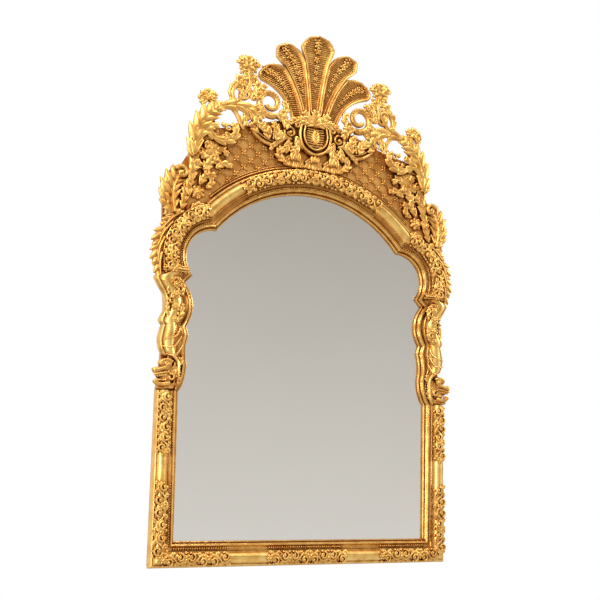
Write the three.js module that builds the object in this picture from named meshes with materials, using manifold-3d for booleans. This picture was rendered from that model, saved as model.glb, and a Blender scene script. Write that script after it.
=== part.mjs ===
// Carved and gilded overmantel mirror: a boarded pine carcass carries a carved front moulding,
// an openwork crest with a five-plume fan, shoulder leaves and a beast head on each side.
// Millimetres, +Z up, +X to the viewer's right, front towards -Y, back of the carcass at y = 0.
import * as THREE from 'three';
import { mergeVertices } from 'three/addons/utils/BufferGeometryUtils.js';
import Module from 'manifold-3d';

const wasm = await Module();
wasm.setup();

// ---- driving dimensions ----------------------------------------------------------------------
const sightHalf = 400;          // half width of the visible glass at the bottom
const railWidth = 70;           // front moulding, sight edge to outer edge
const sightBottom = 35;         // height of the lower sight edge above the origin
const lowerHeight = 408;        // sight bottom to the top of the straight lower part
const swellHeight = 184;        // smooth swelling above it
const consoleHeight = 148;      // console under the ear
const earInset = 90;            // centre of the ear's round: in from the lower sight edge
const earRise = 56;             // and above the console
const earRadius = 85;           // sight edge of the ear
const earBand = 78;             // width of the ear's moulding
const archRadius = 394;         // sight edge of the arch
const archBand = 80;            // width of the arch's moulding
const mitreAngle = 65;          // direction of the joint between ear and arch, in degrees
const carcassDepth = 16;        // thickness of the carcass boards
const panelThickness = 9.7;     // crest ground board
const glassThickness = 5;
const glassCover = 8;           // how far the glass runs behind the sight edge
const glassMargin = 1.5;        // play between the glass and the carcass
const boardThickness = 10;      // backboards
const joint = 0.3;              // clearance wherever two pieces meet
const fanRise = 143;            // root of the fan above the top of the arch's moulding
const fanHeight = 285;          // middle plume
const fanLean = 22;             // how far the plumes' tips come forward
const fanThickness = 15;
const cleatWidth = 16;          // turn buttons
const cleatLength = 50;
const cleatThickness = 3;
const cleatRise = 110;          // lower turn buttons above the sight bottom
const cleatDrop = 100;          // upper turn buttons below the console's top
const screwRadius = 2;
const screwPlay = 0.3;
const hangerInset = 50;         // hangers: in from the lower sight edge, and above the ear's centre
const hangerRise = 144;
const wireRadius = 2;           // hanging rings
const ringHalf = 14;
const ringDrop = 30;

const frontOfCarcass = -carcassDepth;
const mouldingBack = frontOfCarcass - joint;
const panelFront = mouldingBack - panelThickness;
const reliefBack = panelFront - joint;
const degrees = Math.PI / 180;
const outerHalf = sightHalf + railWidth;
const swellTop = lowerHeight + swellHeight;
const consoleTop = swellTop + consoleHeight;
const earX = sightHalf - earInset;
const earZ = consoleTop + earRise;
const cleatHeights = [cleatRise, consoleTop - cleatDrop];
const hangerX = sightHalf - hangerInset;
const hangerZ = earZ + hangerRise;

// ---- materials -------------------------------------------------------------------------------
const finish = (color, roughness, metalness) => new THREE.MeshStandardMaterial({ color, roughness, metalness });
const gold = finish(0xcf9d3c, 0.35, 0.85);
const pine = finish(0x8d6c47, 0.8, 0);
const silvered = finish(0xaaa69c, 0.05, 1);
const brass = finish(0xa98842, 0.4, 0.9);
const felt = finish(0x3c3a34, 0.95, 0);

const mirror = new THREE.Group();
mirror.position.z = sightBottom;

function piece(name, geometry, material) {
  const mesh = new THREE.Mesh(geometry, material);
  mesh.name = name;
  mirror.add(mesh);
  return mesh;
}

// A right-hand piece and its mirror image on the left.
function pair(name, geometry, material) {
  piece(`${name}_right`, geometry, material);
  piece(`${name}_left`, geometry, material).scale.x = -1;
}

// ---- solids ----------------------------------------------------------------------------------
function flatArea(points) {
  return THREE.ShapeUtils.area(points);
}

function meshOf(vertices, faces) {
  let volume = 0;
  for (const [a, b, c] of faces) {
    volume += vertices[a].dot(new THREE.Vector3().crossVectors(vertices[b], vertices[c]));
  }
  const geometry = new THREE.BufferGeometry();
  geometry.setAttribute('position', new THREE.Float32BufferAttribute(vertices.flatMap((v) => [v.x, v.y, v.z]), 3));
  geometry.setIndex(faces.flatMap(([a, b, c]) => (volume > 0 ? [a, b, c] : [a, c, b])));
  return geometry;
}

// Skins a row of equal rings. `outline` is a flat copy of one ring, for the end caps.
function loft(rings, outline, closed = false) {
  const sides = rings[0].length;
  const faces = [];
  const spans = closed ? rings.length : rings.length - 1;
  for (let i = 0; i < spans; i += 1) {
    const here = i * sides;
    const there = ((i + 1) % rings.length) * sides;
    for (let j = 0; j < sides; j += 1) {
      const next = (j + 1) % sides;
      faces.push([here + j, here + next, there + next], [here + j, there + next, there + j]);
    }
  }
  if (!closed) {
    const turn = Math.sign(flatArea(outline));
    const last = (rings.length - 1) * sides;
    for (const [a, b, c] of THREE.ShapeUtils.triangulateShape(outline, [])) {
      const same = Math.sign(flatArea([outline[a], outline[b], outline[c]])) === turn;
      const [p, q, r] = same ? [a, b, c] : [a, c, b];
      faces.push([p, r, q], [last + p, last + q, last + r]);
    }
  }
  return meshOf(rings.flat(), faces);
}

function toManifold(geometry) {
  const plain = geometry.clone();
  plain.deleteAttribute('normal');
  plain.deleteAttribute('uv');
  const merged = mergeVertices(plain, 1e-4);
  return new wasm.Manifold(new wasm.Mesh({
    numProp: 3,
    vertProperties: new Float32Array(merged.attributes.position.array),
    triVerts: new Uint32Array(merged.index.array),
  }));
}

function fromManifold(solid) {
  const { vertProperties, triVerts } = solid.getMesh();
  const geometry = new THREE.BufferGeometry();
  geometry.setAttribute('position', new THREE.BufferAttribute(new Float32Array(vertProperties), 3));
  geometry.setIndex(new THREE.BufferAttribute(new Uint32Array(triVerts), 1));
  return geometry;
}

function fuse(geometries) {
  return fromManifold(geometries.map(toManifold).reduce((whole, part) => whole.add(part)));
}

function cut(geometry, tool) {
  return fromManifold(toManifold(geometry).subtract(toManifold(tool)));
}

// A carved board: an outline in x and z, worked forward from `back`.
function board(shape, back, thickness, bevel = 0) {
  const geometry = new THREE.ExtrudeGeometry(shape, {
    depth: thickness - 2 * bevel,
    bevelEnabled: bevel > 0,
    bevelThickness: bevel,
    bevelSize: bevel,
    bevelOffset: -bevel,
    bevelSegments: 1,
    curveSegments: 6,
  });
  geometry.rotateX(Math.PI / 2);
  geometry.translate(0, back - bevel, 0);
  return geometry;
}

// A stem of oval section through points in x and z. `radius` is a function of 0 to 1.
function stem(points, radius, depth, y, sides = 6) {
  const rings = points.map((point, i) => {
    const before = points[Math.max(0, i - 1)];
    const after = points[Math.min(points.length - 1, i + 1)];
    const along = new THREE.Vector2().subVectors(after, before).normalize();
    const size = radius(i / (points.length - 1));
    return Array.from({ length: sides }, (_, k) => {
      const angle = (k / sides + 0.25) * 2 * Math.PI;
      const across = Math.cos(angle) * size;
      return new THREE.Vector3(point.x - along.y * across, y + Math.sin(angle) * size * depth,
        point.y + along.x * across);
    });
  });
  const outline = Array.from({ length: sides }, (_, k) => {
    const angle = (k / sides + 0.25) * 2 * Math.PI;
    return new THREE.Vector2(Math.cos(angle), Math.sin(angle));
  });
  return loft(rings, outline);
}

const points = (...pairs) => pairs.map(([x, z]) => new THREE.Vector2(x, z));
const smooth = (list, count) => new THREE.SplineCurve(list).getPoints(count);
const polar = (x, z, radius, angle) => new THREE.Vector2(x + radius * Math.cos(angle * degrees),
  z + radius * Math.sin(angle * degrees));

// A volute: the radius shrinks evenly from `outer` to `inner` as the angle runs from `from` to `to`.
function volute(x, z, outer, inner, from, to, count) {
  return Array.from({ length: count + 1 }, (_, i) => {
    const t = i / count;
    return polar(x, z, outer + (inner - outer) * t, from + (to - from) * t);
  });
}

// A swelling bud or boss, as half axes in x, y and z.
function bud(x, y, z, halfX, halfY, halfZ, turn = 0) {
  const geometry = new THREE.SphereGeometry(1, 6, 4);
  geometry.scale(halfX, halfY, halfZ);
  geometry.rotateY(turn * degrees);
  geometry.translate(x, y, z);
  return geometry;
}

// ---- front moulding --------------------------------------------------------------------------
// Section of the moulding: distance from the sight edge, and how far it stands before the carcass.
const sightSection = [[0, 0], [0, 7], [3, 9], [7, 8], [11, 19], [16, 20]];
const bodySection = [[0.15, 13], [0.26, 16], [0.42, 28], [0.6, 34], [0.78, 30], [0.93, 21], [1, 12], [1, 0]];
const beadDepth = sightSection[5][0];

function mouldingRing(inner, outer) {
  const width = inner.distanceTo(outer);
  const flat = [
    ...sightSection,
    ...bodySection.map(([share, height]) => [beadDepth + (width - beadDepth) * share, height]),
  ];
  return flat.map(([distance, height]) => {
    const at = inner.clone().lerp(outer, distance / width);
    return new THREE.Vector3(at.x, mouldingBack - height, at.y);
  });
}

const mouldingOutline = [
  ...sightSection,
  ...bodySection.map(([share, height]) => [beadDepth + (railWidth - beadDepth) * share, height]),
].map(([x, y]) => new THREE.Vector2(x, y));

function moulding(inner, outer) {
  return loft(inner.map((point, i) => mouldingRing(point, outer[i])), mouldingOutline);
}

const mitrePlay = joint * Math.SQRT2 / 2;

function bottomMoulding() {
  const inner = sightHalf - mitrePlay;
  const outer = outerHalf - mitrePlay;
  return moulding(points([-inner, 0], [inner, 0]), points([-outer, -railWidth], [outer, -railWidth]));
}

const lowerSight = sightHalf + 3;

function lowerMoulding() {
  const top = lowerHeight - joint / 2;
  return moulding(points([sightHalf, mitrePlay], [lowerSight, top]),
    points([outerHalf, mitrePlay - railWidth], [outerHalf, top]));
}

// The sight edge swells towards the glass twice; the outer edge gives room for the beast's head.
function swellingMoulding() {
  const foot = lowerHeight + joint / 2;
  const top = swellTop - joint / 2;
  const sight = new THREE.Path();
  sight.moveTo(lowerSight, foot);
  sight.quadraticCurveTo(sightHalf - 16, foot + 22, sightHalf - 19, foot + 75);
  sight.quadraticCurveTo(sightHalf - 8, foot + 117, sightHalf - 21, foot + 157);
  sight.lineTo(sightHalf - 13, top);
  const edge = smooth(points([outerHalf - 47, foot], [outerHalf - 46, foot + 74], [outerHalf - 10, foot + 104],
    [outerHalf + 1, foot + 142], [outerHalf - 8, top]), 40);
  return matched(sight.getPoints(6), edge);
}

// The console under the ear: one deep swelling of the sight edge and a hollow outer edge.
const consoleTip = sightHalf - 26;

function consoleMoulding() {
  const foot = swellTop + joint / 2;
  const top = consoleTop - joint / 2;
  const sight = new THREE.Path();
  sight.moveTo(sightHalf - 13, foot);
  sight.quadraticCurveTo(sightHalf - 53, foot + 64, sightHalf - 4, foot + 125);
  sight.lineTo(consoleTip, top);
  const edge = smooth(points([outerHalf - 7, foot], [outerHalf, foot + 14], [outerHalf - 14, foot + 48],
    [outerHalf - 11, foot + 80], [outerHalf + 10, foot + 116], [outerHalf + 19, foot + 136], [outerHalf + 2, top]), 48);
  return matched(sight.getPoints(12), edge);
}

// Joins each point of the sight edge to the outer edge at the same height.
function matched(sight, edge) {
  const outer = sight.map(({ y }) => {
    const i = Math.max(1, edge.findIndex((point) => point.y >= y - 1e-6));
    const [low, high] = [edge[i - 1], edge[i]];
    const share = THREE.MathUtils.clamp((y - low.y) / (high.y - low.y), 0, 1);
    return new THREE.Vector2(low.x + (high.x - low.x) * share, y);
  });
  return moulding(sight, outer);
}

// The cusp is where the ear's round meets the arch; the mitre leaves it along mitreAngle.
const cuspAngle = 92.55;
const cusp = polar(earX, earZ, earRadius, cuspAngle);
const archZ = cusp.y - Math.sqrt(archRadius * archRadius - cusp.x * cusp.x);

function mitreCrossing(x, z, radius) {
  const from = cusp.clone().sub(new THREE.Vector2(x, z));
  const way = polar(0, 0, 1, mitreAngle);
  const half = from.dot(way);
  const reach = Math.sqrt(half * half - from.lengthSq() + radius * radius) - half;
  return Math.atan2(from.y + way.y * reach, from.x + way.x * reach) / degrees;
}

const earOuter = earRadius + earBand;
const earFoot = Math.asin((consoleTop - earZ) / earRadius) / degrees;
const earFootOuter = Math.asin((consoleTop - earZ) / earOuter) / degrees;
const earEndOuter = mitreCrossing(earX, earZ, earOuter);

function earMoulding() {
  const steps = 12;
  const inner = [];
  const outer = [];
  for (let i = 0; i <= steps; i += 1) {
    const t = i / steps;
    const play = 0.3 / earRadius / degrees;
    inner.push(polar(earX, earZ, earRadius, earFoot + play + (cuspAngle - play * 2 - earFoot) * t));
    outer.push(polar(earX, earZ, earOuter, earFootOuter + (earEndOuter - play - earFootOuter) * t));
  }
  inner[0].y = consoleTop + joint / 2;
  outer[0].y = consoleTop + joint / 2;
  return moulding(inner, outer);
}

const archOuter = archRadius + archBand;
const archCusp = Math.atan2(cusp.y - archZ, cusp.x) / degrees;
const archEndOuter = mitreCrossing(0, archZ, archOuter);

const archSteps = 22;
const crown = archZ + archOuter;
const fanBase = crown + fanRise;
const fanTip = fanBase + fanHeight;

function archMoulding() {
  const play = joint / archRadius / degrees;
  const inner = [];
  const outer = [];
  for (let i = 0; i <= archSteps; i += 1) {
    const t = 2 * (i / archSteps) - 1;
    inner.push(polar(0, archZ, archRadius, 90 + (90 - archCusp - play) * t));
    outer.push(polar(0, archZ, archOuter, 90 + (90 - archEndOuter - play) * t));
  }
  return moulding(inner, outer);
}

piece('bottom_moulding', bottomMoulding(), gold);
pair('lower_moulding', lowerMoulding(), gold);
pair('swelling_moulding', swellingMoulding(), gold);
pair('console_moulding', consoleMoulding(), gold);
pair('ear_moulding', earMoulding(), gold);
piece('arch_moulding', archMoulding(), gold);

// ---- glass, backboards and carcass -----------------------------------------------------------
// Outline of the glass and of the opening round it, `grow` outside the sight edge.
function glassHalf(grow) {
  const ear = earRadius + grow;
  const arch = archRadius + grow;
  const reach = Math.hypot(earX, earZ - archZ);
  const along = (reach * reach + arch * arch - ear * ear) / (2 * reach);
  const tilt = Math.atan2(earZ - archZ, earX) + Math.acos(along / arch);
  const meet = new THREE.Vector2(arch * Math.cos(tilt), archZ + arch * Math.sin(tilt));
  const earEnd = Math.atan2(meet.y - earZ, meet.x - earX) / degrees;
  const side = [new THREE.Vector2(lowerSight + grow, -grow), new THREE.Vector2(lowerSight + grow, lowerHeight)];
  for (let i = 0; i <= 10; i += 1) {
    side.push(polar(earX, earZ, ear, (earEnd * i) / 10));
  }
  for (let i = 1; i <= 12; i += 1) {
    side.push(polar(0, archZ, arch, tilt / degrees + ((90 - tilt / degrees) * i) / 12));
  }
  return side;
}

function mirrored(half) {
  const other = half.filter(({ x }) => x > 1e-6).map(({ x, y }) => new THREE.Vector2(-x, y)).reverse();
  return [...half, ...other];
}

// Half width of an outline at a height.
const sideAt = (outline, z) => {
  const i = outline.findIndex(({ y }) => y >= z);
  const [a, b] = [outline[i - 1], outline[i]];
  return a.x + ((b.x - a.x) * (z - a.y)) / (b.y - a.y);
};

const glassBack = frontOfCarcass + joint / 2 + glassThickness;
piece('mirror_plate', board(new THREE.Shape(mirrored(glassHalf(glassCover))), glassBack, glassThickness), silvered);

const boardJoint = lowerHeight + 62;
const boardBack = glassBack + joint + boardThickness;
const glassEdge = glassHalf(glassCover);
const glassSide = (z) => sideAt(glassEdge, z);

function lowerBackboard() {
  const side = [glassEdge[0], glassEdge[1], new THREE.Vector2(glassSide(boardJoint), boardJoint)];
  return board(new THREE.Shape(mirrored(side)), boardBack, boardThickness);
}

function upperBackboard() {
  const foot = boardJoint + joint;
  const side = [new THREE.Vector2(glassSide(foot), foot), ...glassEdge.filter(({ y }) => y > foot)];
  return board(new THREE.Shape(mirrored(side)), boardBack, boardThickness);
}

piece('backboard_lower', lowerBackboard(), pine);
piece('backboard_upper', upperBackboard(), pine);

const openEdge = glassHalf(glassCover + glassMargin);
const openSide = (z) => sideAt(openEdge, z);
const carcassInset = 4;
const cleatX = outerHalf - carcassInset - 22;

function screwHole(shape, x, z) {
  const hole = new THREE.Path();
  hole.absarc(x, z, screwRadius + screwPlay, 0, 2 * Math.PI, true);
  shape.holes.push(hole);
}

function bottomRail() {
  const half = outerHalf - carcassInset;
  const low = carcassInset - railWidth;
  const high = -glassCover - glassMargin;
  return board(new THREE.Shape(points([-half, low], [half, low], [half, high], [-half, high])),
    0, carcassDepth);
}

function stile() {
  const foot = joint - glassCover - glassMargin;
  const top = consoleTop - joint;
  const shape = new THREE.Shape();
  shape.moveTo(openSide(0), foot);
  shape.lineTo(outerHalf - carcassInset, foot);
  shape.lineTo(outerHalf - carcassInset, lowerHeight);
  shape.quadraticCurveTo(outerHalf - 18, swellTop - 90, outerHalf - 15, swellTop);
  shape.quadraticCurveTo(outerHalf - 24, swellTop + 60, outerHalf - carcassInset, top);
  shape.lineTo(openSide(top), top);
  shape.lineTo(openSide(lowerHeight), lowerHeight);
  cleatHeights.forEach((z) => screwHole(shape, cleatX, z));
  return board(shape, 0, carcassDepth);
}

// Upper edge of the boards behind the crest, from the shoulder to the middle.
const shoulderX = sightHalf + 1;
const crestEdge = points([shoulderX, crown - 7], [shoulderX - 13, crown + 43], [shoulderX - 49, crown + 75],
  [shoulderX - 101, crown + 87], [shoulderX - 169, crown + 103], [172, crown + 125], [112, crown + 143],
  [60, crown + 155], [0, crown + 159]);

function headBoard() {
  const foot = consoleTop;
  const opening = [new THREE.Vector2(openSide(foot), foot), ...openEdge.filter(({ y }) => y > foot)];
  const outside = [
    new THREE.Vector2(outerHalf - carcassInset - 6, foot),
    polar(earX, earZ, earOuter - carcassInset, 10),
    new THREE.Vector2(outerHalf - 2, earZ + 104),
    new THREE.Vector2(outerHalf + 2, earZ + 204),
    new THREE.Vector2(outerHalf - 40, earZ + 250),
    ...smooth(crestEdge, 16).map(({ x, y }) => new THREE.Vector2(Math.max(0, x - 3), y - 3)),
  ];
  const shape = new THREE.Shape([
    ...outside,
    ...outside.slice(0, -1).reverse().map(({ x, y }) => new THREE.Vector2(-x, y)),
    ...opening.map(({ x, y }) => new THREE.Vector2(-x, y)),
    ...opening.slice(0, -1).reverse(),
  ]);
  return board(shape, 0, carcassDepth);
}

piece('carcass_bottom_rail', bottomRail(), pine);
pair('carcass_stile', stile(), pine);
piece('carcass_head', headBoard(), pine);

// Ground board of the crest, cut to the arch and the ears below it.
function crestPanel() {
  const edge = [];
  for (let i = 0; i <= archSteps / 2; i += 1) {
    const share = (2 * i) / archSteps;
    edge.push(polar(0, archZ, archOuter + joint, 90 + (archEndOuter - 90) * share));
  }
  const shoulder = Math.acos((shoulderX - earX) / earOuter) / degrees;
  for (let i = 1; i <= 5; i += 1) {
    const share = i / 5;
    edge.push(polar(earX, earZ, earOuter + joint, earEndOuter - 0.4 + (shoulder - earEndOuter) * share));
  }
  edge.push(...smooth(crestEdge, 16));
  const other = edge.slice(1, -1).reverse().map(({ x, y }) => new THREE.Vector2(-x, y));
  return board(new THREE.Shape([...edge, ...other]), mouldingBack, panelThickness);
}

piece('crest_panel', crestPanel(), gold);

// ---- fan of five plumes ----------------------------------------------------------------------
// A plume is ruled between its two edges. Its rims stand proud and its middle is hollowed.
const plumeSection = [[0, 0.45], [0.1, 1], [0.22, 0.82], [0.36, 0.55], [0.5, 0.48], [0.64, 0.55], [0.78, 0.82],
  [0.9, 1], [1, 0.45]];

function plume(left, right) {
  const rings = left.map((from, i) => {
    const to = right[i];
    const rise = THREE.MathUtils.clamp(((from.y + to.y) / 2 - fanBase) / (fanTip - fanBase), 0, 1);
    const back = reliefBack - fanLean * rise * rise;
    const front = plumeSection.map(([share, height]) => {
      const at = from.clone().lerp(to, share);
      return new THREE.Vector3(at.x, back - fanThickness * height, at.y);
    });
    return [new THREE.Vector3(from.x, back, from.y), ...front, new THREE.Vector3(to.x, back, to.y)];
  });
  const outline = [[0, 0], ...plumeSection, [1, 0]].map(([x, y]) => new THREE.Vector2(x, y));
  return loft(rings, outline);
}

const bezier = (from, by, to, count) => new THREE.QuadraticBezierCurve(...points(from, by, to)).getPoints(count);
const innerSeam = bezier([13, fanBase], [22, fanBase + 110], [40, fanBase + 198], 8);
const outerSeam = bezier([34, fanBase], [50, fanBase + 96], [106, fanBase + 168], 8);
const outerSide = bezier([75, fanBase], [95, fanBase + 92], [184, fanBase + 112], 8);
const shifted = (list, by) => list.map(({ x, y }) => new THREE.Vector2(x + by, y));
const seamPlay = joint / 2;

const middleTip = smooth(points([40, fanBase + 198], [57, fanBase + 247], [36, fanTip - 10], [3, fanTip]), 8).slice(1);
const middleEdge = [...shifted(innerSeam, -seamPlay), ...middleTip];
piece('fan_plume_middle', plume(middleEdge.map(({ x, y }) => new THREE.Vector2(-x, y)), middleEdge), gold);

const innerTipLeft = smooth(points([40, fanBase + 198], [60, fanBase + 226], [88, fanBase + 240],
  [104, fanBase + 242]), 8).slice(1);
const innerTipRight = smooth(points([106, fanBase + 168], [138, fanBase + 196], [138, fanBase + 228],
  [108, fanBase + 241]), 8).slice(1);
pair('fan_plume_inner', plume([...shifted(innerSeam, seamPlay), ...shifted(innerTipLeft, seamPlay)],
  [...shifted(outerSeam, -seamPlay), ...shifted(innerTipRight, -seamPlay)]), gold);

const outerTipTop = smooth(points([106, fanBase + 168], [134, fanBase + 172], [160, fanBase + 168],
  [182, fanBase + 150]), 6).slice(1);
const outerTipSide = smooth(points([184, fanBase + 112], [193, fanBase + 122], [193, fanBase + 136],
  [185, fanBase + 148]), 6).slice(1);
pair('fan_plume_outer', plume([...shifted(outerSeam, seamPlay), ...shifted(outerTipTop, seamPlay)],
  [...outerSide, ...outerTipSide]), gold);

// Carvings of the crest are drawn from the top of the arch's moulding, those of the shoulder from the
// ear's centre and the head's from the foot of the swelling.
const placed = (geometry, x, z) => geometry.translate(x, 0, z);
const onCrest = (geometry) => placed(geometry, 0, crown);
const headInset = 21;
const headRise = 54;

// ---- cartouche, husks and leaves under the fan -----------------------------------------------
const clusterBack = reliefBack - fanThickness - joint;

function halved(geometry, plane) {
  const behind = new THREE.BoxGeometry(2000, 400, 4000);
  behind.translate(0, plane + 200, 0);
  return cut(geometry, behind);
}

function leafCluster() {
  const buds = [bud(0, clusterBack, 155, 20, 16, 17)];
  for (const side of [-1, 1]) {
    buds.push(bud(side * 24, clusterBack, 161, 19, 12, 12, side * 18));
    buds.push(bud(side * 22, clusterBack, 145, 16, 12, 10, side * -20));
    buds.push(bud(side * 42, clusterBack, 153, 17, 9, 8, side * 8));
  }
  return halved(fuse(buds), clusterBack);
}

function cartouche() {
  const shield = new THREE.Shape();
  shield.moveTo(-46, 140);
  shield.bezierCurveTo(-58, 98, -40, 53, 0, 45);
  shield.bezierCurveTo(40, 53, 58, 98, 46, 140);
  const field = new THREE.Shape();
  field.moveTo(-34, 127);
  field.bezierCurveTo(-42, 101, -28, 69, 0, 61);
  field.bezierCurveTo(28, 69, 42, 101, 34, 127);
  const boss = bud(0, reliefBack - 18, 99, 20, 12, 22);
  return fuse([board(shield, reliefBack, 14, 3), board(field, reliefBack - 5, 13, 3), boss]);
}

function husk(x, size) {
  const parts = [bud(x, reliefBack - 7, 29, 9 * size, 7, 13 * size)];
  for (const side of [-1, 0, 1]) {
    parts.push(bud(x + side * 11 * size, reliefBack - 6, 17 - (side ? 0 : 4), 6.5 * size, 6, 12 * size, side * -16));
  }
  return fuse(parts);
}

piece('fan_leaf_cluster', onCrest(leafCluster()), gold);
piece('cartouche', onCrest(cartouche()), gold);
piece('husk_drop_middle', onCrest(husk(0, 1)), gold);
pair('husk_drop', onCrest(husk(64, 1.15)), gold);

const reliefMiddle = reliefBack - 8;

function cartoucheVolute() {
  const curl = stem(volute(84, 107, 22, 7, -100, 420, 15), (t) => 5.2 - 2 * t, 1.5, reliefMiddle);
  const leaf = stem(smooth(points([80, 85], [96, 69], [118, 59], [136, 57]), 5),
    (t) => 5 + 9 * Math.sin(Math.PI * t) * (1 - t), 0.75, reliefMiddle);
  return fuse([curl, leaf]);
}

// A scrolled rail that cradles the leaves on each side, above the lattice ground.
function cradle() {
  const rail = smooth(points([150, 65], [176, 69], [198, 83], [212, 99]), 6);
  const leaf = bud(166, reliefMiddle, 89, 11, 7, 17, 30);
  const root = stem(points([166, 79], [164, 67]), () => 5, 1, reliefMiddle);
  return fuse([stem(rail, (t) => 7.5 - 3 * t, 1, reliefMiddle), leaf, root]);
}

pair('cartouche_volute', onCrest(cartoucheVolute()), gold);
pair('crest_cradle', onCrest(cradle()), gold);

// ---- openwork branches of the crest ----------------------------------------------------------
const branchMiddle = reliefBack - 12.4;

function bigScroll() {
  const ring = stem(volute(154, 187, 42, 15, -110, 330, 18), (t) => 8 - 2.5 * t, 1.4, branchMiddle + 1);
  const foot = stem(smooth(points([141, 149], [124, 147], [108, 141], [100, 125]), 5), () => 7.5,
    1.5, branchMiddle + 1);
  return fuse([ring, foot]);
}

function branch() {
  const plumeStem = stem(smooth(points([390, -15], [389, 39], [370, 87], [346, 121], [318, 143],
    [284, 155], [250, 157], [222, 149], [206, 133], [200, 115]), 16),
  (t) => 13 - 6 * t + 3 * Math.sin(t * Math.PI), 13 / 14, branchMiddle);
  const lobes = [0, 1, 2, 3, 4].map((i) => {
    const at = polar(300, 23, 104, 8 + 15 * i);
    return bud(at.x, branchMiddle, at.y, 15, 9, 9, -60 + 4 * i);
  });
  const frond = stem(smooth(points([374, 79], [326, 47], [292, 45], [268, 61], [264, 85],
    [276, 97]), 8), (t) => 8 - 3 * t, 1.1, branchMiddle);
  const link = stem(smooth(points([284, 155], [262, 133], [250, 107], [240, 89]), 4), (t) => 8 - 2 * t, 1.2,
    branchMiddle);
  const scroll = stem(volute(245, 199, 36, 8, -60, 380, 15), (t) => 6.5 - 2 * t, 1.4, branchMiddle);
  const cluster = [bud(345, branchMiddle, 167, 25, 12, 17), bud(366, branchMiddle, 155, 15, 11, 11),
    bud(322, branchMiddle, 161, 15, 11, 13), bud(346, branchMiddle, 181, 13, 11, 11)];
  const spray = [
    stem(smooth(points([262, 169], [226, 223], [224, 255], [228, 285]), 5), () => 7, 1.2, branchMiddle),
    bud(243, branchMiddle, 245, 15, 10, 12), bud(210, branchMiddle, 259, 12, 10, 11),
    bud(239, branchMiddle, 269, 12, 10, 12), bud(212, branchMiddle, 285, 12, 10, 9),
    bud(232, branchMiddle, 299, 27, 11, 15),
  ];
  return fuse([plumeStem, ...lobes, frond, link, scroll, ...cluster, ...spray]);
}

pair('crest_scroll', onCrest(bigScroll()), gold);
pair('crest_branch', onCrest(branch()), gold);

// ---- shoulders, ears and beast heads ---------------------------------------------------------
function shoulderLeaf() {
  const leaf = new THREE.Shape();
  leaf.moveTo(122, 130);
  leaf.bezierCurveTo(150, 112, 170, 134, 160, 154);
  leaf.bezierCurveTo(180, 159, 182, 182, 168, 194);
  leaf.bezierCurveTo(184, 208, 178, 238, 156, 242);
  leaf.bezierCurveTo(150, 266, 106, 270, 95, 248);
  leaf.bezierCurveTo(94, 214, 102, 170, 122, 130);
  const rib = stem(smooth(points([138, 140], [146, 180], [142, 216], [126, 240]), 6),
    (t) => 5 + 6 * Math.sin(Math.PI * t), 0.8, mouldingBack - 16);
  const eye = stem(volute(114, 240, 17, 6, 40, 420, 12), (t) => 5 - t, 1.4, mouldingBack - 18);
  return fuse([board(leaf, mouldingBack, 16, 3), rib, eye]);
}

function shoulderRosette() {
  const parts = [bud(62, reliefBack, 190, 10, 12, 10)];
  for (let i = 0; i < 6; i += 1) {
    const at = polar(62, 190, 15, 60 * i);
    parts.push(bud(at.x, reliefBack, at.y, 9, 7, 6, -60 * i));
  }
  return halved(fuse(parts), reliefBack);
}

// Overlapping leaves along the outside of the ear, drawn from the ear's own centre.
function earLeaves() {
  const from = -14;
  const to = 40;
  const steps = 24;
  const lobes = 3;
  const outer = [];
  const inner = [];
  for (let i = 0; i <= steps; i += 1) {
    const t = i / steps;
    const scallop = 0.7 + 0.3 * Math.abs(Math.sin(lobes * Math.PI * t));
    const reach = 5 + 21 * Math.sqrt(Math.sin(Math.PI * Math.min(1, t * 1.02))) * scallop;
    outer.push(polar(earX, earZ, earOuter + joint + reach, from + (to - from) * t));
    inner.unshift(polar(earX, earZ, earOuter + joint, from + (to - from) * t));
  }
  return board(new THREE.Shape([...outer, ...inner]), mouldingBack - 2, 24, 1.5);
}

// The beast's head looks outwards: skull, snout, curled jaw, brow and mane.
const headBack = mouldingBack;

function beastHead() {
  const y = headBack - 16;
  const parts = [
    bud(0, y, 0, 17, 19, 26),
    bud(13, y - 2, -6, 24, 15, 17, -10),
    bud(31, y - 2, -10, 15, 11, 11),
    bud(40, y - 2, -4, 7, 8, 6),
    stem(smooth(points([-3, -38], [15, -44], [31, -41], [37, -32]), 5), (t) => 9 - 3 * t, 1.2, y - 2),
    bud(-1, y, -28, 15, 16, 20),
    stem(smooth(points([-1, 16], [13, 16], [27, 8]), 6), (t) => 6 - 2 * t, 1.4, y - 6),
    bud(15, y - 12, 4, 5, 6, 5),
  ];
  for (let i = 0; i < 3; i += 1) {
    parts.push(stem(volute(-6 - i, -22 + 21 * i, 9, 3, 200, 480, 7), () => 3.6, 2, y - 12));
  }
  return halved(fuse(parts), headBack);
}

pair('shoulder_leaf', placed(shoulderLeaf(), earX, earZ), gold);
pair('shoulder_rosette', placed(shoulderRosette(), earX, earZ), gold);
pair('ear_leaves', earLeaves(), gold);
pair('beast_head', placed(beastHead(), outerHalf - headInset, lowerHeight + headRise), gold);

// ---- turn buttons that hold the backboards ---------------------------------------------------
function disc(radius, from, to, x, z, sides = 10) {
  const geometry = new THREE.CylinderGeometry(radius, radius, to - from, sides);
  geometry.translate(x, (from + to) / 2, z);
  return geometry;
}

function turnButton(z) {
  const half = cleatWidth / 2;
  const shape = new THREE.Shape();
  shape.absarc(cleatX, z, half, -Math.PI / 2, Math.PI / 2, false);
  shape.absarc(cleatX - cleatLength + cleatWidth, z, half, Math.PI / 2, 1.5 * Math.PI, false);
  screwHole(shape, cleatX, z);
  return board(shape, joint + cleatThickness, cleatThickness);
}

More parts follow.
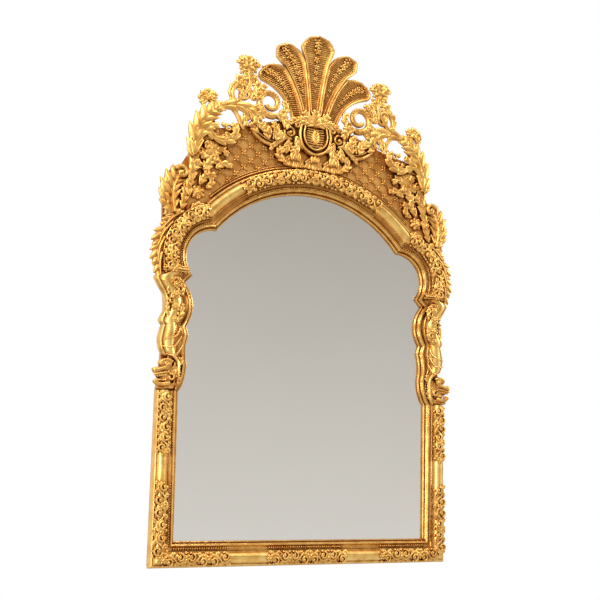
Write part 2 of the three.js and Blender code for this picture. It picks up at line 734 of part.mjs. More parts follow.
function screw(x, z, seat) {
  const headThickness = 2;
  const shank = carcassDepth - 2;
  return fuse([
    disc(screwRadius, -shank, seat + headThickness / 2, x, z, 12),
    disc(2 * screwRadius, seat, seat + headThickness, x, z),
  ]);
}

const cleatSeat = joint + cleatThickness + joint;
cleatHeights.forEach((z, i) => {
  const level = ['lower', 'upper'][i];
  pair(`turn_button_${level}`, turnButton(z), brass);
  pair(`turn_button_screw_${level}`, screw(cleatX, z, cleatSeat), brass);
});

// ---- hangers ---------------------------------------------------------------------------------
const strapThickness = 2;
const knuckleBore = wireRadius + 0.4;
const knuckleWall = 1.4;
const pivotY = joint + knuckleBore + knuckleWall;
const knuckleHalf = 8;

// A strap whose lower end is rolled round the ring's straight bar.
function hangerStrap() {
  const length = 46;
  const outer = knuckleBore + knuckleWall;
  const strap = new THREE.BoxGeometry(18, strapThickness, length);
  strap.translate(hangerX, joint + strapThickness / 2, hangerZ + length / 2 + 1);
  const roll = new THREE.CylinderGeometry(outer, outer, 2 * knuckleHalf, 12);
  roll.rotateZ(Math.PI / 2);
  roll.translate(hangerX, pivotY, hangerZ);
  const bore = new THREE.CylinderGeometry(knuckleBore, knuckleBore, 2 * knuckleHalf + 2, 12);
  bore.rotateZ(Math.PI / 2);
  bore.translate(hangerX, pivotY, hangerZ);
  return cut(fuse([strap, roll]), bore);
}

// The ring: a straight bar with a round loop below, bent from one wire.
function hangerRing() {
  const path = new THREE.Path();
  const bend = 6;
  path.moveTo(-ringHalf + bend, 0);
  path.lineTo(ringHalf - bend, 0);
  path.quadraticCurveTo(ringHalf, 0, ringHalf, -bend);
  path.lineTo(ringHalf, ringHalf - ringDrop);
  path.absarc(0, ringHalf - ringDrop, ringHalf, 0, -Math.PI, true);
  path.lineTo(-ringHalf, -bend);
  path.quadraticCurveTo(-ringHalf, 0, -ringHalf + bend, 0);
  const wire = path.getPoints(5);
  if (wire[0].distanceTo(wire[wire.length - 1]) < 1e-6) wire.pop();
  const kept = wire.filter((point, i) => i === 0 || point.distanceTo(wire[i - 1]) > 1e-6);
  const sides = 6;
  const rings = kept.map((point, i) => {
    const before = kept[(i + kept.length - 1) % kept.length];
    const after = kept[(i + 1) % kept.length];
    const along = new THREE.Vector2().subVectors(after, before).normalize();
    return Array.from({ length: sides }, (_, k) => {
      const angle = (k / sides) * 2 * Math.PI;
      const across = Math.cos(angle) * wireRadius;
      return new THREE.Vector3(hangerX + point.x - along.y * across, pivotY + Math.sin(angle) * wireRadius,
        hangerZ + point.y + along.x * across);
    });
  });
  return loft(rings, null, true);
}

// The strap's screw passes through it into the head board.
const strapScrewZ = hangerZ + 30;
const strapSeat = joint + strapThickness + joint;
const pilot = (from, to) => disc(screwRadius + screwPlay, from, to, hangerX, strapScrewZ, 12);
pair('hanger_strap', cut(hangerStrap(), pilot(-2, 8)), brass);
pair('hanger_ring', hangerRing(), brass);
pair('hanger_screw', screw(hangerX, strapScrewZ, strapSeat), brass);

const head = mirror.getObjectByName('carcass_head');
const otherPilot = pilot(-carcassDepth - 2, 2);
otherPilot.translate(-2 * hangerX, 0, 0);
head.geometry = cut(cut(head.geometry, pilot(-carcassDepth - 2, 2)), otherPilot);

// ---- bumpers that keep the back off the wall -------------------------------------------------
const bumperThickness = 8;
const bumperRadius = 9;
const bumperInset = 32;
const bumperRise = 30;
pair('wall_bumper', disc(bumperRadius, joint, joint + bumperThickness, outerHalf - bumperInset, bumperRise, 12), felt);

export default mirror;
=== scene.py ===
import math

import bmesh
import bpy
from mathutils import Matrix, Vector


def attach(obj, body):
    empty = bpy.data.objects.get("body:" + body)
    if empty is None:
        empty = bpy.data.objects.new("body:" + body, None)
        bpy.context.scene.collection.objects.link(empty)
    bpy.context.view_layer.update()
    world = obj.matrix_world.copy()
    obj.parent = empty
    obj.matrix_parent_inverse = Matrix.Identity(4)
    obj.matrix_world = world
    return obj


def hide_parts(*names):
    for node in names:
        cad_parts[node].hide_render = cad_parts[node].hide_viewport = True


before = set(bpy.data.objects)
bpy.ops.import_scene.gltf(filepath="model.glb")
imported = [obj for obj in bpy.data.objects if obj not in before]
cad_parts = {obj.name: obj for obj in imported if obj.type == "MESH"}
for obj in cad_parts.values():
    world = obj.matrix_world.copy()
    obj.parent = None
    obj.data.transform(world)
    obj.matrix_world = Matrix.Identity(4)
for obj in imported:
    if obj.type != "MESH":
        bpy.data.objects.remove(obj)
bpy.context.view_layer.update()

# Camera: it stands low and to the left of the mirror, and looks up and to the right at it.
# A 60 mm lens on a square picture 36 mm wide; the angles are in radians.
CAMERA_PLACE = Vector((-1.3112, -2.6861, 0.2250))
TURN_RIGHT = 0.44772
TILT_UP = 0.171396
ROLL = 0.020367
FOCAL_LENGTH = 60.0
PICTURE_WIDTH = 36.0

level_right = Vector((math.cos(TURN_RIGHT), -math.sin(TURN_RIGHT), 0))
ahead = Vector((
    math.sin(TURN_RIGHT) * math.cos(TILT_UP),
    math.cos(TURN_RIGHT) * math.cos(TILT_UP),
    math.sin(TILT_UP),
))
above = level_right.cross(ahead)
picture_right = level_right * math.cos(ROLL) + above * math.sin(ROLL)
picture_up = above * math.cos(ROLL) - level_right * math.sin(ROLL)
lens = bpy.data.cameras.new("camera")
lens.lens = FOCAL_LENGTH
lens.sensor_width = PICTURE_WIDTH
lens.sensor_fit = "HORIZONTAL"
camera = bpy.data.objects.new("camera", lens)
bpy.context.collection.objects.link(camera)
camera.matrix_world = Matrix((
    (picture_right.x, picture_up.x, -ahead.x, CAMERA_PLACE.x),
    (picture_right.y, picture_up.y, -ahead.y, CAMERA_PLACE.y),
    (picture_right.z, picture_up.z, -ahead.z, CAMERA_PLACE.z),
    (0, 0, 0, 1),
))
scene = bpy.context.scene
scene.camera = camera
scene.view_settings.view_transform = "Standard"

# Studio: a white surround, a pale floor below the mirror and soft lamps. A grey card that
# only metal and glass see stands behind the camera, darker towards its top.
SURROUND_LIGHT = 0.45
FLOOR_HEIGHT = -1.12
CARD_PLACE = (2.4, -5.4, 2.0)
CARD_LOW_END = -0.4
CARD_HIGH_END = 3.0


def steps_between(tree, value, low, high, low_end=0.0, high_end=1.0):
    """A number that runs from low to high while the value goes from low_end to high_end."""
    reach = tree.nodes.new("ShaderNodeMapRange")
    reach.inputs["From Min"].default_value = low_end
    reach.inputs["From Max"].default_value = high_end
    reach.inputs["To Min"].default_value = low
    reach.inputs["To Max"].default_value = high
    tree.links.new(value, reach.inputs["Value"])
    return reach.outputs["Result"]


def colours_between(tree, value, low, high, low_end=0.0, high_end=1.0):
    """A colour that runs from low to high while the value goes from low_end to high_end."""
    ramp = tree.nodes.new("ShaderNodeValToRGB")
    first = ramp.color_ramp.elements[0]
    first.position = low_end
    first.color = (*low, 1)
    last = ramp.color_ramp.elements[1]
    last.position = high_end
    last.color = (*high, 1)
    tree.links.new(value, ramp.inputs["Fac"])
    return ramp.outputs["Color"]


def split_place(tree, vector):
    split = tree.nodes.new("ShaderNodeSeparateXYZ")
    tree.links.new(vector, split.inputs["Vector"])
    return split.outputs


def new_finish(name):
    """A new material, with its node tree, its shader and the place on the piece."""
    material = bpy.data.materials.new(name)
    material.use_nodes = True
    tree = material.node_tree
    place = tree.nodes.new("ShaderNodeTexCoord").outputs["Object"]
    return material, tree, tree.nodes["Principled BSDF"], place


def stage_plane(name, size, place, turn, colour, glow=0.0):
    mesh = bpy.data.meshes.new(name)
    bm = bmesh.new()
    bmesh.ops.create_grid(bm, x_segments=1, y_segments=1, size=size)
    bmesh.ops.rotate(bm, verts=bm.verts, matrix=Matrix.Rotation(turn, 3, "X"))
    bmesh.ops.translate(bm, verts=bm.verts, vec=place)
    bm.to_mesh(mesh)
    bm.free()
    plane = bpy.data.objects.new(name, mesh)
    bpy.context.collection.objects.link(plane)
    paint, tree, shader, _ = new_finish(name)
    shader.inputs["Base Color"].default_value = colour
    shader.inputs["Roughness"].default_value = 0.9
    shader.inputs["Emission Color"].default_value = colour
    shader.inputs["Emission Strength"].default_value = glow
    mesh.materials.append(paint)
    return plane


def lamp(name, place, power, size, aim):
    light = bpy.data.lights.new(name, "AREA")
    light.energy = power
    light.size = size
    unit = bpy.data.objects.new(name, light)
    bpy.context.collection.objects.link(unit)
    unit.location = place
    unit.rotation_euler = (Vector(aim) - Vector(place)).to_track_quat("-Z", "Y").to_euler()


world = bpy.data.worlds.new("surround")
scene.world = world
world.use_nodes = True
sky = world.node_tree
surround = sky.nodes["Background"]
surround.inputs["Color"].default_value = (1, 1, 1, 1)
ray = sky.nodes.new("ShaderNodeLightPath")
seen = ray.outputs["Is Camera Ray"]
for kind in ("Is Transmission Ray", "Is Glossy Ray"):
    either = sky.nodes.new("ShaderNodeMath")
    either.operation = "MAXIMUM"
    sky.links.new(seen, either.inputs[0])
    sky.links.new(ray.outputs[kind], either.inputs[1])
    seen = either.outputs[0]
sky.links.new(steps_between(sky, seen, SURROUND_LIGHT, 1.0), surround.inputs["Strength"])

stage_plane("floor", 5.0, (0, 0, FLOOR_HEIGHT), 0, (0.86, 0.86, 0.85, 1))
grey_card = stage_plane("grey_card", 3.4, CARD_PLACE, math.pi / 2, (0.2, 0.2, 0.2, 1), 1.0)
card_tree = grey_card.data.materials[0].node_tree
card_height = split_place(card_tree, card_tree.nodes["Texture Coordinate"].outputs["Object"])["Z"]
card_share = steps_between(card_tree, card_height, 0.0, 1.0, CARD_LOW_END, CARD_HIGH_END)
card_grey = colours_between(card_tree, card_share, (0.62, 0.60, 0.57), (0.33, 0.31, 0.27))
card_tree.links.new(card_grey, card_tree.nodes["Principled BSDF"].inputs["Emission Color"])
grey_card.visible_camera = False
grey_card.visible_diffuse = False

lamp("key", (-2.4, -2.2, 2.6), 60, 0.9, (0, 0, 0.8))
lamp("low_left", (-3.0, -1.6, 0.2), 20, 0.8, (0, 0, 0.6))
lamp("right", (2.9, -0.9, 1.8), 26, 0.8, (0, 0, 0.9))
lamp("top", (0.3, -1.0, 3.4), 26, 0.7, (0, 0, 1.1))

# Carcass and backboards: planed pine, glued up behind the carving and gone brown. The
# edges and the front of the carcass carry a wash of yellow ochre and scraps of leaf.
PALE_PINE = (0.42, 0.27, 0.145)
DARK_PINE = (0.20, 0.115, 0.055)
OCHRE = (0.66, 0.38, 0.11)
FACES_BACK = 0.5
LEAF_ON_OCHRE = 0.8


def cloudiness(tree, vector, scale, detail=2.0, distortion=0.0):
    noise = tree.nodes.new("ShaderNodeTexNoise")
    noise.inputs["Scale"].default_value = scale
    noise.inputs["Detail"].default_value = detail
    noise.inputs["Distortion"].default_value = distortion
    tree.links.new(vector, noise.inputs["Vector"])
    return noise.outputs["Fac"]


def roughen(tree, height, strength, depth):
    bump = tree.nodes.new("ShaderNodeBump")
    bump.inputs["Strength"].default_value = strength
    bump.inputs["Distance"].default_value = depth
    tree.links.new(height, bump.inputs["Height"])
    tree.links.new(bump.outputs["Normal"], tree.nodes["Principled BSDF"].inputs["Normal"])


def pine(name, tone):
    """Long upright figure of planed pine; tone makes a board paler than the carcass."""
    material, tree, shader, place = new_finish(name)
    shader.inputs["Roughness"].default_value = 0.75
    along_grain = tree.nodes.new("ShaderNodeMapping")
    along_grain.inputs["Scale"].default_value = (26, 26, 2.2)
    tree.links.new(place, along_grain.inputs["Vector"])
    figure = cloudiness(tree, along_grain.outputs["Vector"], 2.4, 8, 0.8)
    dark = [c * tone for c in DARK_PINE]
    pale = [c * tone for c in PALE_PINE]
    wood = colours_between(tree, figure, dark, pale, 0.35, 0.68)
    tree.links.new(wood, shader.inputs["Base Color"])
    roughen(tree, figure, 0.25, 0.001)
    return material


def ochre_edges(material):
    """Leaves the wood bare where it faces the wall, and washes the rest."""
    tree = material.node_tree
    shader = tree.nodes["Principled BSDF"]
    facing = split_place(tree, tree.nodes.new("ShaderNodeNewGeometry").outputs["Normal"])["Y"]
    bare = tree.nodes.new("ShaderNodeMath")
    bare.operation = "GREATER_THAN"
    bare.inputs[1].default_value = FACES_BACK
    tree.links.new(facing, bare.inputs[0])
    wood = shader.inputs["Base Color"].links[0].from_socket
    both = tree.nodes.new("ShaderNodeMix")
    both.data_type = "RGBA"
    both.inputs["A"].default_value = (*OCHRE, 1)
    tree.links.new(bare.outputs[0], both.inputs["Factor"])
    tree.links.new(wood, both.inputs["B"])
    tree.links.new(both.outputs["Result"], shader.inputs["Base Color"])
    metal = steps_between(tree, bare.outputs[0], LEAF_ON_OCHRE, 0.0)
    tree.links.new(metal, shader.inputs["Metallic"])
    return material


def dress(start, material):
    """Gives a finish to each piece of the frame whose name starts this way."""
    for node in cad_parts:
        if node.startswith(start):
            piece = bpy.data.objects[node]
            piece.data.materials.clear()
            piece.data.materials.append(material)


dress("carcass", ochre_edges(pine("carcass_wood", 1.0)))
dress("backboard", pine("backboard_wood", 1.3))


# Fittings of the back: turn buttons that hold the backboards, straps and rings to hang by,
# all of dull brass with brass screws, and felt bumpers glued to the foot of the stiles.
def mottled(name, colour, metallic, roughness):
    material, tree, shader, place = new_finish(name)
    shader.inputs["Metallic"].default_value = metallic
    shader.inputs["Roughness"].default_value = roughness
    dull = [c * 0.7 for c in colour]
    tarnish = colours_between(tree, cloudiness(tree, place, 160), dull, colour)
    tree.links.new(tarnish, shader.inputs["Base Color"])
    return material


dress("turn_button", mottled("dull_brass", (0.58, 0.42, 0.18), 0.95, 0.38))
dress("hanger", mottled("strap_brass", (0.62, 0.46, 0.20), 0.95, 0.32))
dress("wall_bumper", mottled("felt", (0.05, 0.048, 0.042), 0.0, 0.95))

# Mirror plate: one sheet of silvered glass, a little grey and faintly clouded, held between
# the sight edge of the mouldings and the backboards.
SILVER_GREY = (0.84, 0.83, 0.80)
SILVER_PALE = (0.90, 0.89, 0.86)

glass, tree, shader, place = new_finish("silvered_plate")
shader.inputs["Metallic"].default_value = 1.0
shader.inputs["Roughness"].default_value = 0.03
clouded = colours_between(tree, cloudiness(tree, place, 2.2), SILVER_GREY, SILVER_PALE)
tree.links.new(clouded, shader.inputs["Base Color"])
dress("mirror_plate", glass)

# Gilding: gold leaf over red-brown bole. Its colour carries painted light: the high places, which are
# burnished, are painted paler as a painted highlight and the deeper places warmer and darker as painted
# shade;
# the cuts and hollows are darkened by painted shade towards a brown tone and the bole colour, partly the
# toning and bole that show there, and rubbing makes the colour drift.
# Painted light: between these two depths the gold runs from its warm colour at the back, a painted shade, to
# its pale colour at the front, a painted highlight.
PAINTED_SHADE_Y = -0.026
PAINTED_HIGHLIGHT_Y = -0.046
# Brown that concave cuts are multiplied by: partly the toning in the cuts, partly painted shade.
CUT_TONE_AND_SHADE = (0.56, 0.38, 0.25)
# How far the occlusion reaches for the painted shade in the hollows.
HOLLOW_REACH = 0.012
RUBBED_TONE = (0.80, 0.66, 0.50)
WHITE = (1, 1, 1)
BRUSH_DEPTH = 0.0008


def multiplied_by(tree, colour, tone):
    mix = tree.nodes.new("ShaderNodeMix")
    mix.data_type = "RGBA"
    mix.blend_type = "MULTIPLY"
    mix.inputs["Factor"].default_value = 1.0
    tree.links.new(colour, mix.inputs["A"])
    tree.links.new(tone, mix.inputs["B"])
    return mix.outputs["Result"]


def gilding(name, pale, warm, bole, gloss, dull, grain):
    material, tree, shader, place = new_finish(name)
    shader.inputs["Metallic"].default_value = 0.92
    # Painted light by depth: surfaces that stand further forward are painted paler, those further back warmer
    # and darker.
    painted_depth_light = steps_between(tree, split_place(tree, place)["Y"], 0.0, 1.0, PAINTED_SHADE_Y, PAINTED_HIGHLIGHT_Y)
    gold = colours_between(tree, painted_depth_light, warm, pale)
    # Painted shade in the cuts: concave spots, found by pointiness, are multiplied towards the brown tone,
    # partly real toning there.
    sharp = tree.nodes.new("ShaderNodeNewGeometry").outputs["Pointiness"]
    gold = multiplied_by(tree, gold, colours_between(tree, sharp, CUT_TONE_AND_SHADE, WHITE, 0.44, 0.53))
    # Painted shade in the hollows: occlusion within HOLLOW_REACH darkens the gold towards the bole colour,
    # partly bole showing through and partly painted shade.
    shade = tree.nodes.new("ShaderNodeAmbientOcclusion")
    shade.inputs["Distance"].default_value = HOLLOW_REACH
    shade.samples = 6
    gold = multiplied_by(tree, gold, colours_between(tree, shade.outputs["AO"], bole, WHITE, 0.30, 0.94))
    rubbing = cloudiness(tree, place, 34, 5)
    gold = multiplied_by(tree, gold, colours_between(tree, rubbing, RUBBED_TONE, WHITE, 0.34, 0.60))
    tree.links.new(gold, shader.inputs["Base Color"])
    tree.links.new(steps_between(tree, rubbing, gloss, dull), shader.inputs["Roughness"])
    roughen(tree, cloudiness(tree, place, 420, 3), grain, BRUSH_DEPTH)
    return material


carved_gold = gilding("carved_gold", (0.93, 0.57, 0.16), (0.74, 0.38, 0.09), (0.28, 0.09, 0.03),
                      0.28, 0.46, 0.5)
burnished_gold = gilding("burnished_gold", (1.0, 0.66, 0.21), (0.86, 0.50, 0.14), (0.36, 0.14, 0.05),
                         0.2, 0.34, 0.25)
bole_gold = gilding("bole_gold", (0.95, 0.55, 0.17), (0.78, 0.40, 0.11), (0.30, 0.10, 0.04),
                    0.30, 0.50, 0.6)

# Front mouldings, in millimetres from the foot of the glass: seven kinds of length, with a
# bead at the glass, a ridge, a deep hollow and a fat torus. They are cut in pine, coated with
# gesso, gilded and burnished, and glued to the carcass, with a little play at each joint.
SIGHT_HALF = 400.0
RAIL = 70.0
PLAY = 0.2
FACE = -16.3
LIFT = 35.0
LOWER_TOP = 408
SWELL_TOP = 592
CONSOLE_TOP = 740
EAR = Vector((310.0, 796.0))
EAR_SIGHT = 85.0
EAR_OUT = 163.0
EAR_SIGHT_FROM = -41.2
EAR_SIGHT_TO = 91.8
EAR_OUT_FROM = -20.1
EAR_OUT_TO = 79.2
ARCH = Vector((0.0, 633.0))
ARCH_SIGHT = 394.0
ARCH_OUT = 474.0
ARCH_SIGHT_END = 39.1
ARCH_OUT_END = 43.4
SHARP_ANGLE = 42
BEAD_WIDTH = 16
BEAD = [(0, 0), (0, 5), (0.6, 7.6), (2.2, 9), (4.2, 9.2), (5.8, 8.6), (6.8, 8.2), (7.6, 10), (8.8, 14),
        (10.2, 18.2), (11.4, 19.2), (12.6, 18.6), (14, 18.9), (15, 19.6), (16, 19.8)]
HOLLOW_AND_TORUS = [(0.03, 17), (0.08, 13.8), (0.14, 12.6), (0.2, 13.2), (0.25, 15.4), (0.26, 17.5),
                    (0.3, 18.2), (0.33, 22), (0.38, 27), (0.45, 31.2), (0.53, 33.6), (0.62, 34.0),
                    (0.7, 32.6), (0.77, 29.4), (0.82, 25.4), (0.845, 22.4), (0.86, 23), (0.9, 23.2),
                    (0.93, 22.2), (0.96, 19.2), (0.985, 15.4), (1, 11), (1, 0)]
BOTH_HANDS = (("_right", False), ("_left", True))
WHOLE = (("", False),)


def polar(centre, radius, degrees):
    angle = math.radians(degrees)
    return Vector((centre[0] + radius * math.cos(angle), centre[1] + radius * math.sin(angle)))


def curve_through(points, count):
    """Smooth curve through a few points in x and z, evenly shared out."""
    points = [Vector(p) for p in points]
    spans = len(points) - 1
    out = []
    for i in range(count + 1):
        t = spans * i / count
        k = min(int(t), spans - 1)
        u = t - k
        a = points[max(k - 1, 0)]
        b = points[k]
        c = points[k + 1]
        d = points[min(k + 2, spans)]
        out.append(0.5 * (2 * b + (c - a) * u + (2 * a - 5 * b + 4 * c - d) * u * u
                          + (3 * b - a - 3 * c + d) * u * u * u))
    return out


def bend(start, by, end, count):
    start = Vector(start)
    by = Vector(by)
    end = Vector(end)
    steps = [i / count for i in range(count + 1)]
    return [start * (1 - t) ** 2 + by * 2 * t * (1 - t) + end * t * t for t in steps]


def add_part(bm, part):
    """Adds a finished part to a carving that holds many."""
    shell = bpy.data.meshes.new("shell")
    part.to_mesh(shell)
    part.free()
    bm.from_mesh(shell)
    bpy.data.meshes.remove(shell)


def skin(bm, rings):
    """Carries the first ring along the others by extruding its edges, and closes both ends."""
    part = bmesh.new()
    verts = [part.verts.new(p) for p in rings[0]]
    first = [part.edges.new((verts[i], verts[(i + 1) % len(verts)])) for i in range(len(verts))]
    last = first
    for ring in rings[1:]:
        grown = bmesh.ops.extrude_edge_only(part, edges=last)["geom"]
        fresh = [g for g in grown if isinstance(g, bmesh.types.BMVert)]
        for vert, point in zip(fresh, ring):
            vert.co = point
        last = [g for g in grown if isinstance(g, bmesh.types.BMEdge)
                and g.verts[0] in fresh and g.verts[1] in fresh]
    bmesh.ops.edgeloop_fill(part, edges=first)
    bmesh.ops.edgeloop_fill(part, edges=last)
    add_part(bm, part)


def hand_over(name, bm, gold, node=None, flip=False, smooth=True):
    """Turns a piece from millimetres to metres and gilds it; it may take a node's place."""
    place = Matrix.Translation((0, 0, LIFT / 1000)) @ Matrix.Scale(0.001, 4)
    bmesh.ops.transform(bm, matrix=place, verts=bm.verts)
    if flip:
        bmesh.ops.scale(bm, vec=(-1, 1, 1), verts=bm.verts)
    bmesh.ops.recalc_face_normals(bm, faces=bm.faces)
    mesh = bpy.data.meshes.new(name)
    bm.to_mesh(mesh)
    bm.free()
    if smooth:
        mesh.shade_smooth()
    else:
        mesh.shade_flat()
    mesh.materials.append(gold)
    piece = bpy.data.objects.new(name, mesh)
    bpy.context.collection.objects.link(piece)
    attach(piece, "frame")
    if node:
        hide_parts(node)
    return piece


def section_ring(inner, outer):
    """The section of the moulding, from its sight edge to its outer edge."""
    inner = Vector(inner)
    outer = Vector(outer)
    width = (outer - inner).length
    profile = BEAD + [(BEAD_WIDTH + (width - BEAD_WIDTH) * s, h) for s, h in HOLLOW_AND_TORUS]
    return [(inner.lerp(outer, d / width).x, FACE - h, inner.lerp(outer, d / width).y) for d, h in profile]


def run_of_moulding(name, sight_edge, outer_edge, hands=BOTH_HANDS):
    rings = [section_ring(a, b) for a, b in zip(sight_edge, outer_edge)]
    for side, flip in hands:
        bm = bmesh.new()
        skin(bm, rings)
        piece = hand_over(name + "_gilt" + side, bm, burnished_gold, name + side, flip)
        piece.data.set_sharp_from_angle(angle=math.radians(SHARP_ANGLE))


def across_from(sight_edge, outer_edge):
    """Points of the outer edge at the heights of the sight edge's points."""
    found = []
    for sight in sight_edge:
        spot = Vector((outer_edge[-1].x, sight.y))
        for a, b in zip(outer_edge, outer_edge[1:]):
            if b.y >= sight.y:
                share = max(0, (sight.y - a.y) / (b.y - a.y))
                spot = Vector((a.x + (b.x - a.x) * share, sight.y))
                break
        found.append(spot)
    return found


corner_sight = SIGHT_HALF - PLAY
corner_outer = SIGHT_HALF + RAIL - PLAY
run_of_moulding("bottom_moulding", [(-corner_sight, 0), (corner_sight, 0)],
                [(-corner_outer, -RAIL), (corner_outer, -RAIL)], WHOLE)
run_of_moulding("lower_moulding", [(SIGHT_HALF, PLAY), (SIGHT_HALF + 3, LOWER_TOP - PLAY)],
                [(SIGHT_HALF + RAIL, PLAY - RAIL), (SIGHT_HALF + RAIL, LOWER_TOP - PLAY)])

swell_sight = bend((403, LOWER_TOP + PLAY), (384, 430), (381, 483), 12)
swell_sight += bend((381, 483), (392, 525), (379, 565), 12)[1:]
swell_sight += bend((379, 565), (382, 580), (387, SWELL_TOP - PLAY), 4)[1:]
swell_edge = curve_through([(423, LOWER_TOP), (424, 482), (460, 512), (471, 550), (462, SWELL_TOP)], 60)
run_of_moulding("swelling_moulding", swell_sight, across_from(swell_sight, swell_edge))

console_sight = bend((387, SWELL_TOP + PLAY), (347, 656), (396, 717), 26)
console_sight += bend((396, 717), (385, 729), (374, CONSOLE_TOP - PLAY), 4)[1:]
console_edge = curve_through([(463, SWELL_TOP), (470, 606), (456, 640), (459, 672), (480, 708),
                              (489, 728), (472, CONSOLE_TOP)], 80)
run_of_moulding("console_moulding", console_sight, across_from(console_sight, console_edge))

ear_turn = [i / 40 for i in range(41)]
ear_sight = [polar(EAR, EAR_SIGHT, EAR_SIGHT_FROM + (EAR_SIGHT_TO - EAR_SIGHT_FROM) * t) for t in ear_turn]
ear_edge = [polar(EAR, EAR_OUT, EAR_OUT_FROM + (EAR_OUT_TO - EAR_OUT_FROM) * t) for t in ear_turn]
run_of_moulding("ear_moulding", ear_sight, ear_edge)

arch_turn = [i / 45 - 1 for i in range(91)]
arch_sight = [polar(ARCH, ARCH_SIGHT, 90 + (90 - ARCH_SIGHT_END) * t) for t in arch_turn]
arch_edge = [polar(ARCH, ARCH_OUT, 90 + (90 - ARCH_OUT_END) * t) for t in arch_turn]
run_of_moulding("arch_moulding", arch_sight, arch_edge, WHOLE)

# Running ornament on the torus: scrolling stems with leaf fingers and flowers, and a row of
# pearls in the hollow, between plain burnished stretches. It is carved in the gesso and pine
# of each length, so stems, buds and lobed leaves are cast into one soft-edged skin.
BUD_DETAIL = 2
LEAF_STEPS = 7
LEAF_SWEEP = 0.8
LEAF_FOOT = 2.5
SOFTENING = 2
TORUS_FROM = 0.3
TORUS_TO = 0.845
TORUS_CROWN = FACE - 33.6
TORUS_MIDDLE = BEAD_WIDTH + (RAIL - BEAD_WIDTH) * (TORUS_FROM + TORUS_TO) / 2
TORUS_HALF = 19.0
HOLLOW_LINE = 18.5
SCROLL_UNIT = 62.0
WAVE = 0.55
WAVE_STEPS = 16
PEARL_PITCH = 6.8
PEARL_RADIUS = 2.6
PEARL_LEVEL = FACE - 18
CURVED_MIDDLE = 0.57
ARCH_MIDDLE = ARCH_SIGHT + BEAD_WIDTH + (80 - BEAD_WIDTH) * CURVED_MIDDLE
ARCH_DEGREE = math.radians(1) * ARCH_MIDDLE
ARCH_CARVED = 31
EAR_MIDDLE = EAR_SIGHT + BEAD_WIDTH + (78 - BEAD_WIDTH) * CURVED_MIDDLE
EAR_DEGREE = math.radians(1) * EAR_MIDDLE


def stem(bm, points, radius, y, depth=1.0, sides=10):
    """Tapering stem of oval section. radius and y are numbers or functions of 0 to 1."""
    rings = []
    last = len(points) - 1
    for i, point in enumerate(points):
        t = i / last
        along = (points[min(i + 1, last)] - points[max(i - 1, 0)]).normalized()
        size = radius(t) if callable(radius) else radius
        level = y(t) if callable(y) else y
        ring = []
        for k in range(sides):
            angle = 2 * math.pi * k / sides
            ring.append((point.x - along.y * math.cos(angle) * size,
                         level + math.sin(angle) * size * depth,
                         point.y + along.x * math.cos(angle) * size))
        rings.append(ring)
    skin(bm, rings)


def bud(bm, x, y, z, half_x, half_y, half_z, turn=0.0):
    place = Matrix.Translation((x, y, z)) @ Matrix.Rotation(-math.radians(turn), 4, "Y")
    grain = bmesh.new()
    bmesh.ops.create_icosphere(grain, subdivisions=BUD_DETAIL, radius=1,
                               matrix=place @ Matrix.Diagonal((half_x, half_y, half_z, 1)))
    add_part(bm, grain)


def pearl(bm, x, y, z, radius):
    bud(bm, x, y, z, radius, radius, radius)


def volute(centre, outer, inner, start, end, count):
    steps = [i / count for i in range(count + 1)]
    return [polar(centre, outer + (inner - outer) * t, start + (end - start) * t) for t in steps]


def leaf(bm, points, width, y, lobes=4):
    """Acanthus leaf: a blade of swept-back lobes, domed across, with a groove down its middle."""
    steps = lobes * LEAF_STEPS
    spine = curve_through(points, steps)
    thick = 3.2 + 0.17 * width
    rings = []
    for i, at in enumerate(spine):
        t = i / steps
        along = (spine[min(i + 1, steps)] - spine[max(i - 1, 0)]).normalized()
        across = Vector((-along.y, along.x))
        outline = math.sin(math.pi * (0.12 + 0.84 * t)) ** 0.6
        lobe = (lobes * t) % 1
        half = 0.62 * width * outline * (0.52 + 0.48 * lobe ** 0.7)
        ring = []
        for k in range(-5, 6):
            share = k / 5
            spot = at + across * half * share + along * half * LEAF_SWEEP * abs(share)
            ribs = 0.66 + 0.34 * math.sin(math.pi * lobe)
            groove = 2.2 * math.exp(-(share / 0.17) ** 2)
            dome = thick * (1 - 0.55 * share * share) * ribs - groove
            ring.append((spot.x, y - dome, spot.y))
        for share in (1, -1):
            spot = at + across * half * share + along * half * LEAF_SWEEP
            ring.append((spot.x, y + LEAF_FOOT, spot.y))
        rings.append(ring)
    skin(bm, rings)


def leaves(bm, level, rows):
    """Several leaves on one carving: points, width, lobes and how far each stands proud."""
    for points, width, lobes, proud in rows:
        leaf(bm, points, width, level - proud, lobes)


def flower(bm, x, y, z, size, petals=5, turn=0):
    for k in range(petals):
        angle = turn + 360 * k / petals
        at = polar((x, z), size * 0.6, angle)
        bud(bm, at.x, y, at.y, size * 0.48, size * 0.3, size * 0.33, angle)
    bud(bm, x, y - size * 0.25, z, size * 0.26, size * 0.3, size * 0.26)


def cast(name, bm, voxel, node=None, hands=BOTH_HANDS, gold=carved_gold):
    """Runs the parts of a carving into one skin, softens it and hands over each hand of it."""
    raw = bpy.data.meshes.new(name + "_raw")
    bm.to_mesh(raw)
    bm.free()
    block = bpy.data.objects.new(name + "_raw", raw)
    bpy.context.collection.objects.link(block)
    remesh = block.modifiers.new("skin", "REMESH")
    remesh.mode = "VOXEL"
    remesh.voxel_size = voxel
    soft = block.modifiers.new("soft", "SMOOTH")
    soft.factor = 0.5
    soft.iterations = SOFTENING
    evaluated = block.evaluated_get(bpy.context.evaluated_depsgraph_get())
    done = bpy.data.meshes.new_from_object(evaluated)
    bpy.data.objects.remove(block)
    for side, flip in hands:
        fresh = bmesh.new()
        fresh.from_mesh(done)
        hand_over(name + side, fresh, gold, node + side if node else None, flip)
    bpy.data.meshes.remove(done)


def torus_height(v):
    return TORUS_CROWN + 9.5 * v * v


